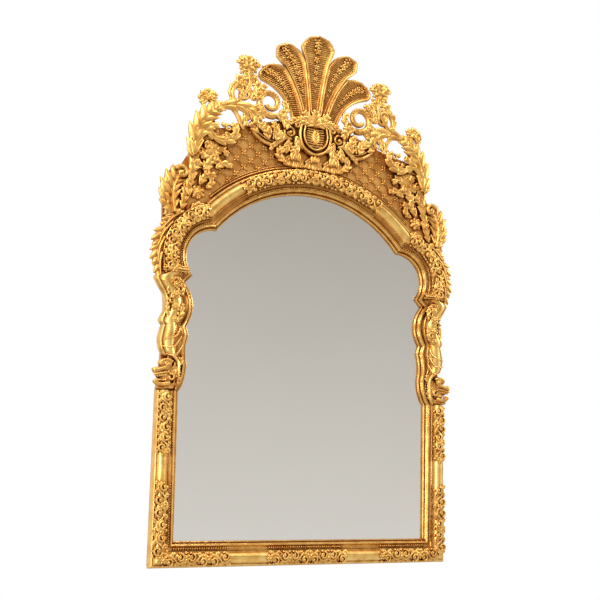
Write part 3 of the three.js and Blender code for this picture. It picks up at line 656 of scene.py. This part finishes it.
def running_scroll(bm, place, start, end, unit=SCROLL_UNIT):
    """place(s, v) gives a point in x and z at s along the run and v across, from -1 to 1."""
    count = max(1, round((end - start) / unit))
    length = (end - start) / count
    for i in range(count):
        begin = start + i * length
        way = 1 if i % 2 else -1
        wave = [place(begin + length * u / WAVE_STEPS, way * WAVE * math.sin(2 * math.pi * u / WAVE_STEPS))
                for u in range(WAVE_STEPS + 1)]
        stem(bm, wave, 2.9, lambda t: torus_height(WAVE * math.sin(2 * math.pi * t)) - 2, 1.4, 8)
        for u, side in ((0.25, -way), (0.75, way)):
            centre = place(begin + length * u, side * 0.3)
            turn = 90 + 180 * (side > 0)
            stem(bm, volute(centre, 11.5, 3.5, turn, turn + 400 * side, 22), lambda t: 3.3 - 1.1 * t,
                 torus_height(side * 0.3) - 3.4, 1.5, 8)
            bud(bm, centre.x, torus_height(side * 0.3) - 4.5, centre.y, 3.6, 4, 3.6)
            for reach, far in ((0.16, 0.92), (-0.14, 0.86)):
                low = place(begin + length * u, -side * 0.2)
                mid = place(begin + length * (u + reach * 0.7), -side * 0.55)
                tip = place(begin + length * (u + reach * 1.5), -side * far)
                leaf(bm, [low, mid, tip], 12, torus_height(0.6) - 1, 3)
            rim = place(begin + length * u, side * 0.86)
            bud(bm, rim.x, torus_height(0.9) - 1, rim.y, 4.4, 4, 4.4)
        node = place(begin, 0)
        flower(bm, node.x, torus_height(0) - 3, node.y, 10.5, 6, 20 * i)
        for u, v in ((0.5, 0.7), (0.5, -0.7), (0.04, 0.84), (0.04, -0.84)):
            small = place(begin + length * u, v)
            flower(bm, small.x, torus_height(v) - 1.5, small.y, 6.2, 5, 30 * i)


def pearl_row(bm, place_at, start, end, pitch=PEARL_PITCH):
    count = max(1, round((end - start) / pitch))
    for i in range(count):
        at = place_at(start + (end - start) * (i + 0.5) / count)
        pearl(bm, at.x, PEARL_LEVEL, at.y, PEARL_RADIUS)


side_carving = bmesh.new()
for low, high in ((-40, 162), (238, 402)):
    running_scroll(side_carving, lambda s, v: Vector((SIGHT_HALF + TORUS_MIDDLE + v * TORUS_HALF, s)),
                   low, high)
    pearl_row(side_carving, lambda s: Vector((SIGHT_HALF + HOLLOW_LINE, s)), max(low, -8), high)
cast("side_rail_carving", side_carving, 1.25)

foot_carving = bmesh.new()
for low, high in ((-436, -242), (-122, 122), (242, 436)):
    running_scroll(foot_carving, lambda s, v: Vector((s, -TORUS_MIDDLE - v * TORUS_HALF)), low, high)
    pearl_row(foot_carving, lambda s: Vector((s, -HOLLOW_LINE)), max(low, -405), min(high, 405))
cast("foot_rail_carving", foot_carving, 1.25, hands=WHOLE)

arch_carving = bmesh.new()
running_scroll(arch_carving, lambda s, v: polar(ARCH, ARCH_MIDDLE + v * 22, 90 - s / ARCH_DEGREE),
               -ARCH_CARVED * ARCH_DEGREE, ARCH_CARVED * ARCH_DEGREE, 58)
pearl_row(arch_carving, lambda s: polar(ARCH, ARCH_SIGHT + 19, 90 - s / ARCH_DEGREE),
          -ARCH_CARVED * ARCH_DEGREE, ARCH_CARVED * ARCH_DEGREE)
cast("arch_carving", arch_carving, 1.3, hands=WHOLE)

ear_carving = bmesh.new()
running_scroll(ear_carving, lambda s, v: polar(EAR, EAR_MIDDLE + v * 21, s / EAR_DEGREE),
               -20 * EAR_DEGREE, 78 * EAR_DEGREE, 50)
pearl_row(ear_carving, lambda s: polar(EAR, EAR_SIGHT + 19, s / EAR_DEGREE),
          -30 * EAR_DEGREE, 84 * EAR_DEGREE, 8.5)
for fillet in (744, 757):
    stem(ear_carving, [Vector((x, fillet)) for x in (392, 430, 470)], 2.2, FACE - 31, 2.2)
for i in range(12):
    bud(ear_carving, 398 + 6.4 * i, FACE - 35, 750.5, 3.4, 4, 3.4)
cast("ear_carving", ear_carving, 1.3)

# Consoles and swellings: a string of flowers between leaves and small volutes on the
# console, and below it smooth folds that wrap the swelling.
CONSOLE_LINE = 430
CONSOLE_LEVEL = FACE - 28
FOLD_LEVEL = FACE - 31

console_carving = bmesh.new()
for z, size in ((608, 9), (640, 12), (676, 13), (706, 10)):
    flower(console_carving, CONSOLE_LINE, FACE - 33, z, size, 7, z)
for side, x in ((1, 448), (-1, 412)):
    leaf(console_carving, [(CONSOLE_LINE, 596), (x, 620), (x + side * 4, 652)], 15, CONSOLE_LEVEL, 5)
    leaf(console_carving, [(CONSOLE_LINE, 728), (x, 708), (x + side * 2, 676)], 15, CONSOLE_LEVEL, 5)
for x, z in ((418, 624), (442, 658), (418, 692)):
    stem(console_carving, volute((x, z), 11, 3, 0, 420, 20), 2.8, FOLD_LEVEL, 1.5)
cast("console_carving", console_carving, 1.3)

folds = bmesh.new()
for low, mid, high in (((412, 586), (424, 560), (463, 548)), ((408, 560), (430, 530), (466, 528)),
                       ((404, 536), (424, 506), (452, 508))):
    stem(folds, curve_through([low, mid, high], 14), lambda t: 3.4 - 2.2 * abs(2 * t - 1), FOLD_LEVEL, 1.6)
cast("swelling_folds", folds, 1.3, gold=burnished_gold)

# Fan: five plumes side by side, carved from one leaning board, with smooth raised rims, a
# hollow middle cut with fine cross ribs, and small flowers down each centre line.
FAN_BASE = 1250.0
FAN_TIP = 1535.0
FAN_LEAN = 22.0
FAN_THICK = 15.0
FAN_BACK = FACE - 10.0
FAN_STEPS = 120
CUTS_ACROSS = 22
RIM_HALF = 3.5
RIM_SLOPE = 4.2
RIB_FROM = 9
RIB_HEIGHT = 0.12
RIB_PITCH = 6.4
FLOOR_SHARE = 0.26
PLUME_FLOWERS = 9


def fan_back(z):
    rise = min(1, max(0, (z - FAN_BASE) / (FAN_TIP - FAN_BASE)))
    return FAN_BACK - FAN_LEAN * rise * rise


def plume_height(edge, run):
    """Height of the plume's face, 0 to 1, at a distance from its outline; run counts the ribs."""
    if edge < RIM_HALF:
        return 0.7 + 0.3 * math.sin(math.pi * edge / (2 * RIM_HALF))
    height = FLOOR_SHARE + (1 - FLOOR_SHARE) * math.exp(-((edge - RIM_HALF) / RIM_SLOPE) ** 2)
    if edge > RIB_FROM:
        height += RIB_HEIGHT * math.sin(run) * min(1, (edge - RIB_FROM) / 3)
    return height


def plume(name, left, right, hands=BOTH_HANDS):
    """One plume between its left and right outlines, from its foot to its tip."""
    outline = left[::2] + right[::2]
    middles = [(a + b) / 2 for a, b in zip(left, right)]
    rings = []
    run = 0.0
    for i, (a, b) in enumerate(zip(left, right)):
        if i:
            run += (middles[i] - middles[i - 1]).length * 2 * math.pi / RIB_PITCH
        back = fan_back(middles[i].y)
        ring = [(a.x, back, a.y)]
        for k in range(CUTS_ACROSS + 1):
            at = a.lerp(b, k / CUTS_ACROSS)
            edge = min((at - p).length_squared for p in outline) ** 0.5
            ring.append((at.x, back - FAN_THICK * plume_height(edge, run), at.y))
        ring.append((b.x, back, b.y))
        rings.append(ring)
    for side, flip in hands:
        bm = bmesh.new()
        skin(bm, rings)
        for k in range(PLUME_FLOWERS):
            at = middles[int(len(left) * (0.34 + 0.065 * k))]
            flower(bm, at.x, fan_back(at.y) - FAN_THICK * 0.34 - 0.5, at.y, 5 + 1.1 * k, 5, 40 * k)
        hand_over(name + "_carved" + side, bm, carved_gold, name + side, flip)


def tip_edge(points, count):
    """Edge of a plume's tip: half rounded, so that its corners still show."""
    spans = len(points) - 1
    out = []
    for i, soft in enumerate(curve_through(points, count)):
        k = min(int(spans * i / count), spans - 1)
        straight = Vector(points[k]).lerp(Vector(points[k + 1]), spans * i / count - k)
        out.append((soft + straight) / 2)
    return out[1:]


inner_seam = bend((13, FAN_BASE), (22, 1360), (40, 1448), FAN_STEPS)
outer_seam = bend((34, FAN_BASE), (50, 1346), (106, 1418), FAN_STEPS)
outer_side = bend((75, FAN_BASE), (95, 1342), (184, 1362), FAN_STEPS)
middle_edge = inner_seam + tip_edge([(40, 1448), (57, 1497), (36, 1525), (3, FAN_TIP)], 70)
plume("fan_plume_middle", [Vector((-p.x, p.y)) for p in middle_edge], middle_edge, WHOLE)
plume("fan_plume_inner", inner_seam + tip_edge([(40, 1448), (60, 1476), (88, 1490), (104, 1492)], 70),
      outer_seam + tip_edge([(106, 1418), (138, 1446), (138, 1478), (108, 1491)], 70))
plume("fan_plume_outer", outer_seam + tip_edge([(106, 1418), (134, 1422), (160, 1418), (182, 1400)], 50),
      outer_side + tip_edge([(184, 1362), (193, 1372), (193, 1386), (185, 1398)], 50))


# Gilded ground: a millimetre of gesso and bole, laid on the front of the carcass at the
# shoulders and the stiles, wherever the carving lets it show.
def gesso(name, corners):
    for side, flip in BOTH_HANDS:
        bm = bmesh.new()
        face = bm.faces.new([bm.verts.new((x, FACE + 0.1, z)) for x, z in corners])
        grown = bmesh.ops.extrude_face_region(bm, geom=[face])["geom"]
        raised = [g for g in grown if isinstance(g, bmesh.types.BMVert)]
        bmesh.ops.translate(bm, verts=raised, vec=(0, -1.0, 0))
        hand_over(name + side, bm, bole_gold, flip=flip, smooth=False)


gesso("shoulder_gesso", [(404, 880), (466, 868), (470, 900), (474, 1000), (432, 1046), (404, 1096)])
gesso("stile_gesso", [(404, 410), (466, 410), (463, 450), (457, 500), (455, 560), (454, 640), (458, 700),
                      (466, 739), (404, 739)])

# Crest panel: a thin board glued to the head of the carcass, cut with a diagonal lattice of
# double lines and a four-petalled flower at each crossing, with two fillets along the arch.
PANEL_FACE = FACE - 9.7
PANEL_TOP = 1266
CARVED_MARGIN = 6
LATTICE = 46.0
LATTICE_FOOT = 900
LINE_APART = 3.4
LINE_STEP = 12

dress("crest_panel", bole_gold)
crest_edge = curve_through([(401, 1100), (388, 1150), (352, 1182), (300, 1194), (232, 1210), (172, 1232),
                            (112, 1250), (60, 1262), (0, PANEL_TOP)], 60)


def on_ground(x, z):
    """Where the panel shows: above the arch, below its own edge and beside the shield."""
    x = abs(x)
    if math.hypot(x, z - ARCH.y) < ARCH_OUT + 12 or x > 392 or z < 1000:
        return False
    if x < 118 and z < 1160:
        return False
    top = next((p.y for p in crest_edge if p.x <= x), PANEL_TOP)
    return z < top - CARVED_MARGIN


lattice = bmesh.new()
for way in (-1, 1):
    for k in range(-20, 40):
        for offset in (-LINE_APART, LINE_APART):
            run = []
            for x in range(-420, 420, LINE_STEP):
                z = LATTICE_FOOT + way * x + k * LATTICE + offset
                if on_ground(x, z):
                    run.append(Vector((x, z)))
                elif run:
                    if len(run) > 1:
                        stem(lattice, run, 1.25, PANEL_FACE - 0.4, 1.4, 6)
                    run = []
for i in range(-20, 21):
    for j in range(-20, 40):
        x = i * LATTICE / 2
        z = LATTICE_FOOT + j * LATTICE / 2
        if (i + j) % 2 == 0 and on_ground(x, z) and on_ground(x + 8, z + 8):
            flower(lattice, x, PANEL_FACE - 1.5, z, 9.5, 4, 45)
for radius, thick in ((ARCH_OUT + 4, 3.2), (ARCH_OUT + 11, 2.0)):
    stem(lattice, [polar(ARCH, radius, 46 + 88 * i / 60) for i in range(61)], thick, PANEL_FACE, 1.5, 8)
for side in (-1, 1):
    for k in range(9):
        bud(lattice, side * (124 - 1.5 * k), PANEL_FACE - 1, 1112 + 6.4 * k, 2.4, 2.4, 2.8)
hand_over("crest_lattice", lattice, carved_gold)

# Openwork branches: a leafy plume that rises from each shoulder and hooks inwards, with a
# curled frond in the gap, a spiral scroll, a flower spray and a leaf bunch at the turn. Each
# is sawn through a board, carved on its front, and glued to the panel's edge.
BRANCH = FACE - 22.4
BUNCH = (352, 1270)
SPIRAL = (245, 1306)
PLUME_LINE = [(390, 1092), (389, 1146), (370, 1194), (346, 1228), (318, 1250), (284, 1262), (250, 1264),
              (222, 1256), (206, 1240), (200, 1222)]
FROND = [(374, 1186), (326, 1154), (292, 1152), (268, 1168), (264, 1192), (276, 1204)]

branch = bmesh.new()
stem(branch, curve_through(PLUME_LINE, 60), lambda t: 9.5 - 4 * t, BRANCH, 1.1)
leaves(branch, BRANCH, (
    (PLUME_LINE[:5], 60, 6, 3),
    (PLUME_LINE[3:], 36, 5, 3),
    ([(388, 1100), (376, 1150), (350, 1182), (322, 1192)], 32, 4, 7),
    ([(396, 1084), (404, 1116), (396, 1150)], 24, 3, 6),
    ([(392, 1130), (392, 1164), (376, 1196)], 24, 3, 8),
    ([(376, 1176), (366, 1212), (344, 1236)], 24, 3, 8),
))
stem(branch, curve_through(FROND, 40), lambda t: 7 - 3 * t, BRANCH, 1.1)
leaf(branch, FROND, 28, BRANCH - 3, 6)
stem(branch, volute((284, 1192), 12, 4, 180, -200, 16), 4, BRANCH, 1.3)
stem(branch, curve_through([(284, 1262), (262, 1240), (250, 1214), (240, 1196)], 12), lambda t: 7 - 2 * t,
     BRANCH, 1.2)
leaf(branch, [(262, 1240), (246, 1226), (232, 1224)], 13, BRANCH, 4)
leaf(branch, [(250, 1214), (266, 1200), (270, 1184)], 12, BRANCH, 4)
stem(branch, volute(SPIRAL, 36, 8, -60, 380, 50), lambda t: 6.6 - 2.4 * t, BRANCH, 1.4)
bud(branch, 250, BRANCH - 4, 1304, 7, 9, 7)
leaf(branch, volute(SPIRAL, 40, 34, -60, 120, 6), 18, BRANCH - 1, 6)
bud(branch, 352, BRANCH - 8, 1272, 10, 8, 9)
for turn in (-40, 20, 75, 130, 200):
    petal = [polar(BUNCH, 4, turn), polar(BUNCH, 16, turn + 8), polar(BUNCH, 28, turn + 4)]
    leaf(branch, petal, 24, BRANCH - 4, 2)
leaf(branch, [(316, 1254), (340, 1266), (364, 1272), (384, 1270)], 20, BRANCH - 2, 6)
stem(branch, curve_through([(262, 1276), (226, 1330), (224, 1362), (228, 1392)], 14), 7.5, BRANCH, 1.2)
leaf(branch, [(220, 1290), (200, 1318), (196, 1352)], 26, BRANCH - 2, 4)
leaf(branch, [(240, 1300), (256, 1330), (262, 1362)], 22, BRANCH - 2, 3)
for x, z, size in ((244, 1352, 18), (210, 1362, 16), (244, 1380, 16), (214, 1388, 15), (250, 1330, 12),
                   (206, 1340, 12), (228, 1370, 12)):
    flower(branch, x, BRANCH - 3, z, size, 5, x)
leaves(branch, BRANCH, (
    ([(230, 1388), (212, 1402), (200, 1412)], 30, 3, 3),
    ([(230, 1388), (248, 1404), (260, 1412)], 30, 3, 3),
    ([(230, 1388), (231, 1408), (231, 1424)], 32, 3, 5),
))
stem(branch, volute((206, 1404), 9, 3, 0, 400, 16), 3, BRANCH - 8, 1.3)
stem(branch, volute((254, 1404), 9, 3, 180, -220, 16), 3, BRANCH - 8, 1.3)
leaf(branch, [(228, 1330), (212, 1312), (206, 1292)], 14, BRANCH, 5)
for x, z in ((206, 1236), (186, 1240), (215, 1216), (300, 1200), (330, 1196), (226, 1232)):
    bud(branch, x, BRANCH, z, 8, 8, 10, x)
leaves(branch, BRANCH, (
    ([(206, 1244), (190, 1254), (172, 1246)], 20, 3, 2),
    ([(230, 1266), (206, 1268), (186, 1282)], 22, 4, 3),
    ([(222, 1252), (236, 1232), (232, 1208)], 20, 3, 2),
    ([(200, 1230), (186, 1216), (170, 1214)], 18, 3, 2),
    ([(300, 1176), (282, 1166), (262, 1180)], 18, 3, 5),
))
cast("crest_branch_carved", branch, 1.5, "crest_branch")

# Scrolls: a big C scroll on each side of the fan's foot, with pearls along its inner edge
# and a small volute where it meets the shield, carved with the branch beside it.
SCROLL_EYE = (154, 1294)

scroll = bmesh.new()
stem(scroll, volute(SCROLL_EYE, 42, 15, -110, 330, 60), lambda t: 11 - 3.5 * t, BRANCH - 1, 1.0)
stem(scroll, curve_through([(141, 1256), (124, 1254), (108, 1248), (100, 1232)], 14), 7.5, BRANCH - 1, 1.5)
for k in range(16):
    at = polar(SCROLL_EYE, 40 - 0.75 * k, -90 + 17 * k)
    pearl(scroll, at.x, BRANCH - 12, at.y, 3)
stem(scroll, volute((112, 1264), 14, 4, -90, 330, 24), 4.5, BRANCH - 6, 1.4)
leaves(scroll, BRANCH, (
    ([(136, 1258), (112, 1248), (94, 1224)], 30, 4, 6),
    ([(198, 1290), (194, 1322), (172, 1344)], 24, 4, 5),
    ([(120, 1258), (104, 1280), (108, 1306)], 24, 4, 4),
))
cast("crest_scroll_carved", scroll, 1.4, "crest_scroll")

# Volutes and cradle: a volute on each side of the shield and the curved rail of leaves
# below it, which seem to carry it. Both are applied to the panel.
RELIEF = FACE - 18.0
VOLUTE_EYE = (84, 1214)

volutes = bmesh.new()
stem(volutes, volute(VOLUTE_EYE, 22, 6, -100, 420, 50), lambda t: 5.4 - 2 * t, RELIEF, 1.6)
bud(volutes, 84, RELIEF - 5, 1214, 6, 7, 6)
for k in range(4):
    finger = [(92 + 6 * k, 1196 - 3 * k), (108 + 10 * k, 1190 - 8 * k), (122 + 9 * k, 1178 - 10 * k)]
    leaf(volutes, finger, 15, RELIEF - 3, 3)
leaf(volutes, [(66, 1204), (58, 1178), (76, 1150)], 30, RELIEF - 4, 4)
leaf(volutes, [(90, 1190), (94, 1166), (116, 1148)], 26, RELIEF - 3, 3)
cast("cartouche_volute_carved", volutes, 1.3, "cartouche_volute")

cradle = bmesh.new()
stem(cradle, curve_through([(126, 1166), (150, 1166), (176, 1174), (198, 1190), (214, 1208)], 24),
     lambda t: 6.5 - 2.5 * t, RELIEF, 1.1)
stem(cradle, curve_through([(128, 1176), (150, 1177), (172, 1185), (192, 1200)], 18), 2.2, RELIEF - 2, 1.3)
leaf(cradle, [(154, 1178), (164, 1204), (184, 1224)], 32, RELIEF - 4, 4)
leaf(cradle, [(132, 1176), (128, 1204), (140, 1236)], 30, RELIEF - 4, 4)
leaf(cradle, [(190, 1192), (204, 1212), (206, 1232)], 24, RELIEF - 2, 3)
bud(cradle, 156, RELIEF - 6, 1206, 11, 9, 17, -12)
bud(cradle, 112, RELIEF - 4, 1196, 10, 8, 15, 10)
stem(cradle, curve_through([(118, 1158), (96, 1166), (76, 1180)], 12), 5, RELIEF, 1.2)
for k in range(8):
    bud(cradle, 143 - 0.6 * k, RELIEF - 10, 1182 + 7 * k, 3, 4, 3.4)
cast("crest_cradle_carved", cradle, 1.3, "crest_cradle")

# Shield and leaf cluster: the shield has a double border round a ribbed field with one
# leaf. Over its top edge lies a cluster of leaves that hides the foot of the fan.
SHIELD_OUTER = [(-47, 1248), (-52, 1210), (-38, 1172), (0, 1154), (38, 1172), (52, 1210), (47, 1248)]
SHIELD_INNER = [(-36, 1242), (-40, 1210), (-28, 1182), (0, 1169), (28, 1182), (40, 1210), (36, 1242)]
SHIELD_RIBS = 9

shield = bmesh.new()
stem(shield, curve_through(SHIELD_OUTER, 48), 5.2, FACE - 22, 1.7)
stem(shield, curve_through(SHIELD_INNER, 40), 3.2, FACE - 27, 1.8)
bud(shield, 0, FACE - 17, 1208, 40, 10, 42)
for k in range(SHIELD_RIBS):
    z = 1174 + 7.6 * k
    half = 30 * math.sqrt(max(0.05, 1 - ((z - 1216) / 50) ** 2))
    stem(shield, [Vector((-half, z)), Vector((0, z - 3)), Vector((half, z))], 2.1, FACE - 26, 1.4)
leaf(shield, [(0, 1186), (0, 1204), (0, 1226)], 24, FACE - 28, 5)
stem(shield, [Vector((-48, 1248)), Vector((0, 1244)), Vector((48, 1248))], 4.5, FACE - 24, 1.6)
cast("cartouche_carved", shield, 1.3, "cartouche", WHOLE)

cluster = bmesh.new()
leaf(cluster, [(0, 1240), (0, 1264), (0, 1292)], 36, FACE - 27, 4)
for side in (-1, 1):
    leaf(cluster, [(side * 4, 1248), (side * 24, 1266), (side * 42, 1284)], 30, FACE - 27, 3)
    leaf(cluster, [(side * 6, 1244), (side * 32, 1254), (side * 62, 1258)], 28, FACE - 27, 4)
    leaf(cluster, [(side * 48, 1244), (side * 66, 1252), (side * 86, 1244)], 24, FACE - 23, 3)
    stem(cluster, volute((side * 62, 1240), 9, 3, 90, 90 + side * 380, 18), 3.5, FACE - 24, 1.4)
cast("fan_leaf_cluster_carved", cluster, 1.3, "fan_leaf_cluster", WHOLE)


# Husk drops: three tassels below the shield, each with fat pods over a fringe of narrow
# leaves, applied to the panel above the arch.
def husk_drop(bm, x, size):
    for k in range(-2, 3):
        line = [(x + 4 * k * size, 1148), (x + 10 * k * size, 1128), (x + 13 * k * size, 1106 + 2.4 * abs(k))]
        leaf(bm, line, 15 * size, FACE - 17 + abs(k), 2)
    for k in (-1, 0, 1):
        bud(bm, x + 10 * k * size, FACE - 24, 1140 - 2 * abs(k), 6 * size, 6, 12 * size, -8 * k)
    bud(bm, x, FACE - 20, 1153, 13 * size, 8, 6 * size)


middle_husk = bmesh.new()
husk_drop(middle_husk, 0, 1)
cast("husk_middle_carved", middle_husk, 1.2, "husk_drop_middle", WHOLE)
side_husk = bmesh.new()
husk_drop(side_husk, 66, 1.15)
leaf(side_husk, [(98, 1116), (114, 1136), (112, 1164)], 28, FACE - 16, 4)
cast("husk_side_carved", side_husk, 1.2, "husk_drop")

# Shoulders: a tall lobed leaf that rolls into an eye at its tip, with a rosette beside it
# and a thicket of smaller leaves over the corner of the panel. All are applied.
SHOULDER = FACE - 10
THICKET = PANEL_FACE - 7

shoulder = bmesh.new()
leaf(shoulder, [(446, 912), (453, 950), (453, 988), (442, 1020), (424, 1046)], 62, SHOULDER - 2, 6)
leaf(shoulder, [(446, 914), (464, 940), (470, 972), (466, 1010)], 34, SHOULDER - 5, 5)
stem(shoulder, curve_through([(440, 916), (448, 952), (447, 990), (434, 1022)], 20), lambda t: 5 - 2 * t,
     SHOULDER - 14, 1.4)
stem(shoulder, volute((424, 1036), 19, 5, 20, 420, 40), lambda t: 7.5 - 2.5 * t, SHOULDER - 10, 1.5)
bud(shoulder, 425, SHOULDER - 14, 1036, 7, 8, 7)
leaf(shoulder, [(420, 926), (412, 960), (408, 992), (410, 1016)], 26, SHOULDER - 3, 5)
leaf(shoulder, [(430, 896), (446, 906), (468, 912)], 22, SHOULDER - 4, 4)
cast("shoulder_leaf_carved", shoulder, 1.4, "shoulder_leaf")

thicket = bmesh.new()
flower(thicket, 372, PANEL_FACE - 2, 986, 22, 7)
flower(thicket, 372, PANEL_FACE - 8, 986, 12, 6, 25)
for start, mid, end, width in (
        ((396, 1010), (390, 1050), (368, 1076), 34), ((356, 1046), (340, 1078), (312, 1094), 32),
        ((398, 1058), (386, 1092), (394, 1124), 34), ((368, 1086), (346, 1110), (344, 1144), 34),
        ((332, 1098), (310, 1122), (284, 1112), 28), ((370, 1006), (352, 1034), (322, 1044), 26),
        ((330, 1120), (320, 1150), (294, 1164), 28), ((386, 1122), (368, 1150), (340, 1156), 28),
        ((322, 1064), (298, 1080), (270, 1078), 22), ((398, 968), (400, 1000), (390, 1034), 24),
        ((360, 1150), (342, 1166), (316, 1172), 24), ((350, 1000), (334, 1014), (330, 1036), 20),
        ((392, 930), (376, 944), (352, 948), 20)):
    leaf(thicket, [start, mid, end], width, THICKET, 3)
for x, z, size in ((350, 1046, 12), (372, 1106, 13), (322, 1092, 10), (352, 1126, 11)):
    stem(thicket, volute((x, z), size, 3, 30, 430, 24), 4, PANEL_FACE - 12, 1.5)
    pearl(thicket, x, PANEL_FACE - 12, z, 5)
cast("shoulder_thicket", thicket, 1.4, "shoulder_rosette")

# Ear leaves: four overlapping leaves that run down the outside of each ear. They are sawn
# and carved from one board, and glued to its edge.
ear_side = bmesh.new()
for top, low, width in ((50, 26, 32), (34, 6, 40), (16, -10, 38), (0, -22, 30)):
    middle = (top + low) / 2
    leaf(ear_side, [polar(EAR, 160, top), polar(EAR, 172, middle), polar(EAR, 180, low)], width, FACE - 13, 4)
    vein = [polar(EAR, 162, top), polar(EAR, 170, middle), polar(EAR, 176, low)]
    stem(ear_side, curve_through(vein, 10), lambda t: 4.5 - 2 * t, FACE - 22, 1.2)
ear_bud = polar(EAR, 170, 46)
bud(ear_side, ear_bud.x, FACE - 18, ear_bud.y, 12, 9, 11)
cast("ear_leaves_carved", ear_side, 1.4, "ear_leaves")

# Beast heads: a fanciful animal in profile that looks outwards, with a blunt snout, an open
# jaw with teeth, a heavy brow and a mane of curled leaves. Each is carved apart and fixed
# where the frame steps in.
HEAD = FACE - 17
TEETH = 6

beast = bmesh.new()
bud(beast, 446, HEAD + 2, 456, 24, 16, 42)
bud(beast, 459, HEAD - 6, 484, 13, 13, 11)
bud(beast, 444, HEAD - 10, 478, 11, 10, 9)
bud(beast, 444, HEAD - 18, 479, 5.4, 4.5, 4.6)
stem(beast, volute((444, 479), 8, 7.4, 0, 340, 20), 1.8, HEAD - 17, 1.3)
stem(beast, curve_through([(432, 486), (442, 492), (456, 491), (466, 484)], 12), lambda t: 5 - 1.6 * t,
     HEAD - 14, 1.3)
stem(beast, curve_through([(442, 470), (456, 468), (470, 463), (484, 458)], 14), 7.5, HEAD - 8, 1.3)
bud(beast, 479, HEAD - 7, 463, 10, 11, 8)
bud(beast, 484, HEAD - 12, 467, 3, 3, 2.4)
stem(beast, curve_through([(440, 458), (456, 456), (472, 452), (484, 450)], 12), 2.6, HEAD - 14, 1.4)
bud(beast, 455, HEAD - 4, 446, 22, 7, 9)
for k in range(TEETH):
    bud(beast, 448 + 6 * k, HEAD - 12, 450 - 0.8 * k, 2.3, 3, 4.6)
    bud(beast, 448 + 5.6 * k, HEAD - 12, 436 - 0.2 * k, 2.2, 3, 4)
stem(beast, curve_through([(436, 428), (452, 424), (470, 425), (482, 434)], 14), lambda t: 7.5 - 1.5 * t,
     HEAD - 8, 1.3)
stem(beast, curve_through([(440, 417), (456, 413), (474, 416)], 12), 4.4, HEAD - 5, 1.3)
stem(beast, volute((434, 444), 10, 4, 60, 400, 22), lambda t: 4 - t, HEAD - 13, 1.5)
leaves(beast, HEAD, (
    ([(436, 452), (424, 470), (412, 484), (408, 500)], 22, 4, 6),
    ([(432, 436), (420, 450), (412, 466)], 20, 4, 8),
    ([(440, 414), (424, 424), (414, 440), (412, 452)], 18, 4, 6),
    ([(446, 492), (434, 502), (418, 508)], 15, 3, 6),
))
cast("beast_head_carved", beast, 1.2, "beast_head")
